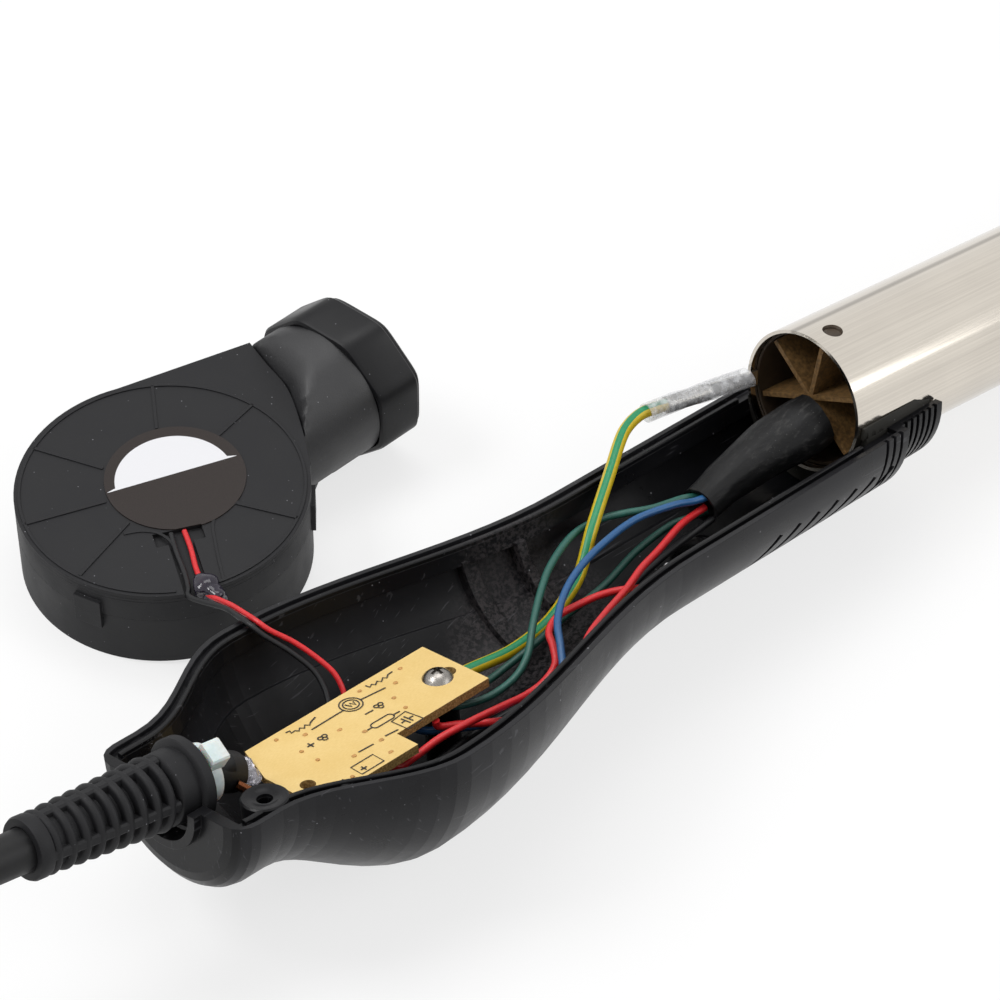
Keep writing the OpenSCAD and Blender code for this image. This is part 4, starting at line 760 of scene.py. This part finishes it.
# Cut end of the cable's jacket, inside the shell: soft, hollow, and bent down to the board, with
# the cores coming out of it
tip_route = smooth([(-141.6, 0.5, 0), (-138.5, 0.7, -0.7), (-135.6, 1, -2), (-132.4, 1.6, -4)], 5)
tip = mesh_object("jacket_tip", *sleeve_mesh(tip_route, lambda s, w: (3.6 - 0.25 * s + 0.1 * math.sin(3 * w) * s,
                                                                      3.6 - 0.3 * s), 0.9, 6, 32),
                  [FINISH["cable_jacket"]], 50, SHELL)

# Print on the board: thin dark ink, symbols of the parts only. Small dents show where the parts'
# legs come through from below.
PRINT = BOARD_TOP, BOARD_TOP + 0.04


def arc(x, y, r, start=0, sweep=360, steps=20):
    return [(x + r * math.cos(math.radians(start + sweep * i / steps)),
             y + r * math.sin(math.radians(start + sweep * i / steps))) for i in range(steps)]


def plus(x, y, r=0.7):
    return [[(x - r, y), (x + r, y)], [(x, y - r), (x, y + r)]]


lines = [
    [(-98, 8.4), (-97.9, 7.5), (-97.1, 7.9), (-96.8, 7.3), (-95.9, 7.9), (-95.6, 7.2), (-94.6, 7.9), (-94.3, 7.3),
     (-93.5, 7.9), (-92.4, 8)],
    [(-115.4, 8.4), (-114.6, 8.3), (-114.9, 7.6), (-114.1, 7.7), (-113.7, 7.1), (-113.1, 7.7), (-112.6, 7),
     (-112, 7.7), (-111.5, 7), (-110.9, 7.5), (-109.4, 8)],
    [(-101.4, 6), (-96.4, 5.4)], [(-112.2, 5.8), (-105.2, 5.9)], [(-103.9, 2.3), (-102.2, 2.2)],
    [(-106.8, -1.3), (-105.9, -1.3)], [(-101, -1.3), (-99.8, -1.4)],
    [(-106.2, -4.7), (-103.6, -5)], [(-112, -4.7), (-108.9, -4.9)],
    [(-102, -4.1), (-101.2, -4)], [(-101.2, -3.1), (-101, -5.1)], [(-100.5, -3), (-100.3, -5)],
    [(-100.3, -4), (-99.4, -4)], [(-104, 6.9), (-103.6, 5.6), (-103.2, 6.7), (-102.8, 5.5), (-102.5, 6.6)],
] + plus(-115.3, 2.7) + plus(-114.5, -8.6, 0.6)
rings = [arc(-103.3, 6.2, 1.95), arc(-103.3, 6.2, 1.35),
         [(-102.7, -2.5), (-99.3, -2.1), (-98.8, -5.8), (-102.5, -6.2)],
         [(-115.7, -6.9), (-111, -6.9), (-111.1, -9.6), (-115.8, -9.6)],
         arc(-101.9, -1.25, 0.75, -90, 180, 10) + arc(-105, -1.25, 0.75, 90, 180, 10)]
rings += [arc(x + dx, y + dy, 0.42, steps=10) for x, y in ((-100.7, 2.4), (-112.6, 2.7))
          for dx, dy in ((-0.45, 0.2), (0.45, 0.2), (0, -0.45))]
marks = [ribbon(line, 0.26, *PRINT) for line in lines]
marks += [ribbon(ring, 0.22, *PRINT, closed=True) for ring in rings]
print_marks = mesh_object("board_print", *merged(marks), [plain("print", "#2b2620", 0.5, scale=3)], 0, SHELL)
PITS = [(-90.9, 7.7), (-94.4, 5.2), (-97.6, 2.2), (-98.4, -1.3), (-99.7, 8), (-109.4, 2.3), (-113.8, 5.6),
        (-117.7, 8.1), (-117.4, 2.5), (-117.4, -1.2), (-107.3, -1.2), (-107.3, -5), (-113.1, -4.9), (-108.7, -8.6),
        (-117.2, -8.9)]
pits = mesh_object("board_dents", *merged([lump((x, y, BOARD_TOP), (0.42, 0.34, 0.12), x) for x, y in PITS]),
                   [plain("dents", "#c08f50", 0.4, scale=3)], 60, SHELL)
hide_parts("board_solder")

# Soldered end of the sensor wire: bright beads on its strands, and the bare gilt lead of the
# switch beside it
beads = mesh_object("solder_beads", *merged([lump((-45, -7.3, -8.3), (1, 0.8, 0.8), 1.4, 0.2),
                                             lump((-43.2, -6.3, -8), (0.8, 0.7, 0.7), 2.9, 0.2),
                                             lump((-41.7, -5.6, -7.8), (0.6, 0.5, 0.5), 0.6, 0.2)]),
                    [FINISH["board_solder"]], 60, SHELL)
gilt = mesh_object("bare_lead", *tube_mesh(smooth([(-54, -7.2, -8.8), (-51.6, -7.6, -8.7), (-50.4, -7.2, -8.9),
                                                   (-47.4, -7.6, -8.4)], 4), 0.26, 10)[:2],
                   [FINISH["tilt_switch"]], 60, SHELL)

# Raised borders beside the slot in the blower's cover: thin ribs, moulded with it
borders = [[(-11.8, -4), (-9.4, -5.4), (-7.6, -7.6), (-7.2, -10.2), (-7.9, -12.8), (-9.3, -15.6), (-12, -21)],
           [(7, -11.6), (4.4, -11.1), (2, -11.4), (0.2, -12.7), (-1.4, -15), (-3.6, -18.4), (-6.6, -23.4)]]
ridges = mesh_object("slot_borders", *merged([
    ribbon([q.xy for q in smooth([(*c, 0) for c in b], 5)], 0.5, -0.1, 0.16) for b in borders]),
                     [FINISH["blower_cover"]], 0, FAN)


# Cover of the blower: a flat black moulding with thin raised ribs, a slot for the leads, and an
# edge scooped out over the duct. Three clips on its skirt hold it on the base.
SCOOP = [(33.6, 17.7), (33.5, 16.1), (32.2, 10.2), (30.8, 3.1), (27, -4.5), (21.7, -13.1)]
RIB_R = 24.1


def extruded(outline, low, high):
    """A closed plate of one outline."""
    n = len(outline)
    verts = [(*q, z) for z in (low, high) for q in outline]
    sides = [(i, (i + 1) % n, n + (i + 1) % n, n + i) for i in range(n)]
    return verts, sides + [tuple(range(n))[::-1], tuple(range(n, 2 * n))]


def polar(r, angle, aside=0):
    c, s = math.cos(math.radians(angle)), math.sin(math.radians(angle))
    return r * c - aside * s, r * s + aside * c


edge = [tuple(q.xy) for q in smooth([(*q, 0) for q in SCOOP[:0:-1]], 4)]
rim_a = [polar(FAN_R, a) for a in range(68, 236, 4)]
rim_b = [polar(FAN_R, a) for a in range(250, 329, 4)]
notch = [polar(r, SLOT_TURN, v) for r, v in ((24.9, -2.1), (13.4, -2.1), (13.4, -4.2), (10.4, -4.2), (10.4, 4.2),
                                             (13.4, 4.2), (13.4, 2.1), (24.9, 2.1))]
whole = edge + rim_a + [polar(FAN_R, a) for a in (236, 240, 243, 246)] + rim_b
plates = [extruded(edge + rim_a + notch + rim_b, -0.9, 0), extruded(whole, -1.6, -0.8),
          ribbon([(0.972 * x, 0.972 * y) for x, y in whole], 1.4, -5.9, -1.5, closed=True)]
plates += [extruded([polar(r, a, v) for r, v in ((24, -2.5), (25.6, -2.5), (25.6, 2.5), (24, 2.5))], -5.9, -2.9)
           for a in (80, 200, 318)]
cover = mesh_object("cover_plate", *merged(plates), [FINISH["blower_cover"]], 30, FAN)
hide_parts("blower_cover")


def label_edge(angle, off=2.5, r=12.3):
    """Distance from the axis to the edge of the label, which sits off the axis."""
    a = math.radians(angle)
    return off * math.cos(a) + math.sqrt(r * r - (off * math.sin(a)) ** 2)


ring = [polar(RIB_R, 251 + 344 * i / 90) for i in range(91)]
ribs = [ribbon(ring, 0.5, -0.1, 0.2)] + [
    ribbon([polar(label_edge(a), a), polar(RIB_R, a)], 0.55, -0.1, 0.2) for a in (10, 54, 115, 158, 195, 299)]
cover_ribs = mesh_object("cover_ribs", *merged(ribs), [FINISH["blower_cover"]], 0, FAN)

# Root of the duct, moulded with the blower's housing: it dives under the scooped edge and swells
# to the full round before the collar
ROOT_R, DUCT_Y, DUCT_Z = 13.25, 4.4, -DUCT_DEPTH
ROOT_FROM, ROOT_SWEEP, ROOT_LAP = -28, 236, 1.5
START_X, END_X, COLLAR_R, SLANT = 39.8, 49.6, 13.95, -0.125
RISE = [(-0.4, -2.4), (0, -1.2), (0.4, 0.1), (1, 1.7), (1.9, 3.2), (3.2, 4.6), (5.2, 5.75)]


def scoop_x(y):
    for (x0, y0), (x1, y1) in zip(SCOOP, SCOOP[1:]):
        if y >= y1:
            return x1 + (x0 - x1) * min(1, (y - y1) / (y0 - y1))
    return SCOOP[-1][0]


root_verts, COLS = [], 61
for i in range(COLS):
    w = math.radians(ROOT_FROM + ROOT_SWEEP * i / (COLS - 1))
    y, z = DUCT_Y + ROOT_R * math.cos(w), DUCT_Z + ROOT_R * math.sin(w)
    start = scoop_x(y)
    root_verts += [(start + d, y, min(z, high)) for d, high in RISE] + [(START_X + ROOT_LAP, y, z)]
per = len(RISE) + 1
root_faces = [(per * i + k, per * i + per + k, per * i + per + k + 1, per * i + k + 1)
              for i in range(COLS - 1) for k in range(per - 1)]
root = mesh_object("duct_root", root_verts, root_faces,
                   [moulded("duct", FAN, "#19191b", 0.4, 4.5, 0.1, 0.6, gloss=0.55)], 50, FAN)

# Seal collar: black rubber, pushed over the end of the duct, where it seals in the handle's ribs.
# It has eight soft flats and a turned-in lip in front.
BORE_R, FLAT_POWER, SIDES = 11.8, 26, 96
collar_rows = [(START_X + 0.4, 0, 13), (START_X, 0.93, 0), (START_X + 0.2, 0.975, 0), (START_X + 0.8, 1, 0),
               (END_X - 1.7, 1, 0), (END_X - 1.4, 0.985, 0), (END_X - 1.3, 0.963, 0), (END_X - 0.6, 0.95, 0),
               (END_X - 0.15, 0.915, 0), (END_X, 0.87, 0), (END_X, 0, BORE_R + 0.3), (END_X - 0.3, 0, BORE_R),
               (START_X, 0, BORE_R)]


def flats_r(w):
    """Radius of the soft octagon at angle w."""
    return COLLAR_R * sum(max(0, math.cos(w - math.radians(45 * k))) ** FLAT_POWER
                          for k in range(8)) ** (-1 / FLAT_POWER)


turns = [2 * math.pi * i / SIDES for i in range(SIDES)]
collar_verts = []
for x, k, r in collar_rows:
    for w in turns:
        reach = k * flats_r(w) + r
        collar_verts.append((x + SLANT * reach * math.cos(w), DUCT_Y + reach * math.cos(w),
                             DUCT_Z + reach * math.sin(w)))
collar_faces = [(SIDES * i + k, SIDES * i + (k + 1) % SIDES, SIDES * j + (k + 1) % SIDES, SIDES * j + k)
                for i in range(len(collar_rows)) for j in ((i + 1) % len(collar_rows),) for k in range(SIDES)]
collar = mesh_object("seal_collar", collar_verts, collar_faces, [FINISH["blower_collar"]], 35, FAN)
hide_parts("blower_collar")


# Strain relief: a soft moulded boot round the cable, with round rings along a thin core, joined by
# four spines. Its flange is trapped in the rear wall of the shell.
BOOT_RINGS, RING_R, NECK_LEN, CORE_R = 9, 0.75, 6.4, 3.9


def boot_reach(z):
    """Radius over the rings at z."""
    return 6.1 - 1.15 * (z - NECK_LEN) / (BOOT - NECK_LEN)


boot_parts = [lathe([(3.6, 0), (6.9, 0), (7.15, 0.25), (7.15, 1.75), (6.9, 2), (5.9, 2.1), (5.8, 5.4),
                     (5.4, 5.8), (4.1, 6), (4.1, BOOT - 2.6), (4.9, BOOT - 2.4), (5.05, BOOT - 1.9),
                     (5.05, BOOT - 0.5), (4.8, BOOT), (3.6, BOOT)], (0, 0, 0), 64, True)]
for i in range(BOOT_RINGS):
    z = 7.4 + (BOOT - 10.6) * i / (BOOT_RINGS - 1)
    reach = boot_reach(z)
    nose = [(reach - RING_R + RING_R * math.cos(t), z + RING_R * math.sin(t))
            for t in [math.pi * k / 6 - math.pi / 2 for k in range(7)]]
    boot_parts.append(lathe(nose + [(CORE_R, z + RING_R), (CORE_R, z - RING_R)], (0, 0, 0), 64, True))
for a in (0, 90, 180, 270):
    rows = []
    for z in (6, 18, BOOT - 2):
        top = boot_reach(z) - 0.15
        rows.append([(*polar(r, a, v), z) for r, v in ((CORE_R, -0.85), (top - 0.3, -0.85), (top, -0.5),
                                                       (top, 0.5), (top - 0.3, 0.85), (CORE_R, 0.85))])
    boot_parts.append(loft(rows))
boot = mesh_object("relief_boot", *merged(boot_parts), [FINISH["strain_relief"]], 40, RELIEF)
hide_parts("strain_relief")

# Nylon tie round the cable, inside the flange: a thin white strap, pulled tight through a small
# square head
tie_parts = [lathe([(3.55, -3.3), (4.6, -3.3), (4.75, -3.15), (4.75, -1.25), (4.6, -1.1), (3.55, -1.1)],
                   (0, 0, 0), 64, True),
             extruded([polar(r, -35, v) for r, v in ((4.2, -1.9), (6.9, -1.9), (7.2, -1.6), (7.2, 1.6), (6.9, 1.9),
                                                    (4.2, 1.9))], -3.8, -0.6)]
tie = mesh_object("nylon_tie", *merged(tie_parts), [FINISH["cable_tie"]], 35, RELIEF)
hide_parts("cable_tie")

# Screw boss in the rear corner, moulded with the shell: a proud glossy ring round the pilot hole
ring_boss = mesh_object("boss_ring", *lathe([(1.3, -3), (1.3, -0.35), (2.1, -0.2), (2.4, 0), (3.5, 0.05),
                                             (3.76, -0.15), (3.76, -3)], (-137.4, -12.2, 0), 48, True),
                        [plain("boss_ring", "#151517", 0.25, scale=0.8, vary=0.2, Specular_IOR_Level=0.16)],
                        35, SHELL)

# Stage: pale floor and world, as the photograph's plain white ground. Both are brighter to the
# camera and in reflections than as light on the object.
def white_to_camera(tree):
    path = tree.nodes.new("ShaderNodeLightPath")
    seen = tree.nodes.new("ShaderNodeMath")
    seen.operation = "MAXIMUM"
    tree.links.new(path.outputs["Is Camera Ray"], seen.inputs[0])
    more = tree.nodes.new("ShaderNodeMath")
    more.operation = "MAXIMUM"
    tree.links.new(path.outputs["Is Glossy Ray"], more.inputs[0])
    tree.links.new(path.outputs["Is Transmission Ray"], more.inputs[1])
    tree.links.new(more.outputs[0], seen.inputs[1])
    return seen.outputs[0]


world = bpy.data.worlds.new("studio")
bpy.context.scene.world = world
world.use_nodes = True
world_tree = world.node_tree
back = world_tree.nodes["Background"]
back.inputs["Color"].default_value = (1, 1, 1, 1)
level = world_tree.nodes.new("ShaderNodeMapRange")
level.inputs[3].default_value = 0.5
level.inputs[4].default_value = 1.0
world_tree.links.new(white_to_camera(world_tree), level.inputs[0])
world_tree.links.new(level.outputs[0], back.inputs["Strength"])

floor_mesh = bpy.data.meshes.new("floor")
floor_mesh.from_pydata([(-3, -3, 0), (3, -3, 0), (3, 3, 0), (-3, 3, 0)], [], [(0, 1, 2, 3)])
floor_obj = bpy.data.objects.new("floor", floor_mesh)
bpy.context.scene.collection.objects.link(floor_obj)
floor_mat = bpy.data.materials.new("floor")
floor_mat.use_nodes = True
floor_tree = floor_mat.node_tree
floor_bsdf = floor_tree.nodes["Principled BSDF"]
floor_bsdf.inputs["Base Color"].default_value = (0.93, 0.93, 0.93, 1)
floor_bsdf.inputs["Roughness"].default_value = 0.9
floor_bsdf.inputs["Specular IOR Level"].default_value = 0.1
glow = floor_tree.nodes.new("ShaderNodeEmission")
blend_in = floor_tree.nodes.new("ShaderNodeMixShader")
share = floor_tree.nodes.new("ShaderNodeMapRange")
share.inputs[4].default_value = 0.72
floor_tree.links.new(white_to_camera(floor_tree), share.inputs[0])
floor_tree.links.new(share.outputs[0], blend_in.inputs[0])
floor_tree.links.new(floor_bsdf.outputs[0], blend_in.inputs[1])
floor_tree.links.new(glow.outputs[0], blend_in.inputs[2])
floor_tree.links.new(blend_in.outputs[0], floor_tree.nodes["Material Output"].inputs["Surface"])
floor_mesh.materials.append(floor_mat)


def lamp(name, at, size, power):
    data = bpy.data.lights.new(name, "AREA")
    data.shape = "RECTANGLE"
    data.size, data.size_y = size
    data.energy = power
    obj = bpy.data.objects.new(name, data)
    obj.location = at
    obj.rotation_euler = (Vector(LIT) - Vector(at)).to_track_quat("-Z", "Y").to_euler()
    bpy.context.scene.collection.objects.link(obj)


LIT = (-0.02, 0, 0)
lamp("key", (-0.5, 0.35, 0.75), (0.4, 0.28), 3.6)
lamp("fill", (0.35, -0.6, 0.5), (0.5, 0.5), 1.6)
lamp("top", (0.1, 0.2, 0.9), (0.6, 0.4), 2.6)

bpy.context.scene.view_settings.view_transform = "Standard"
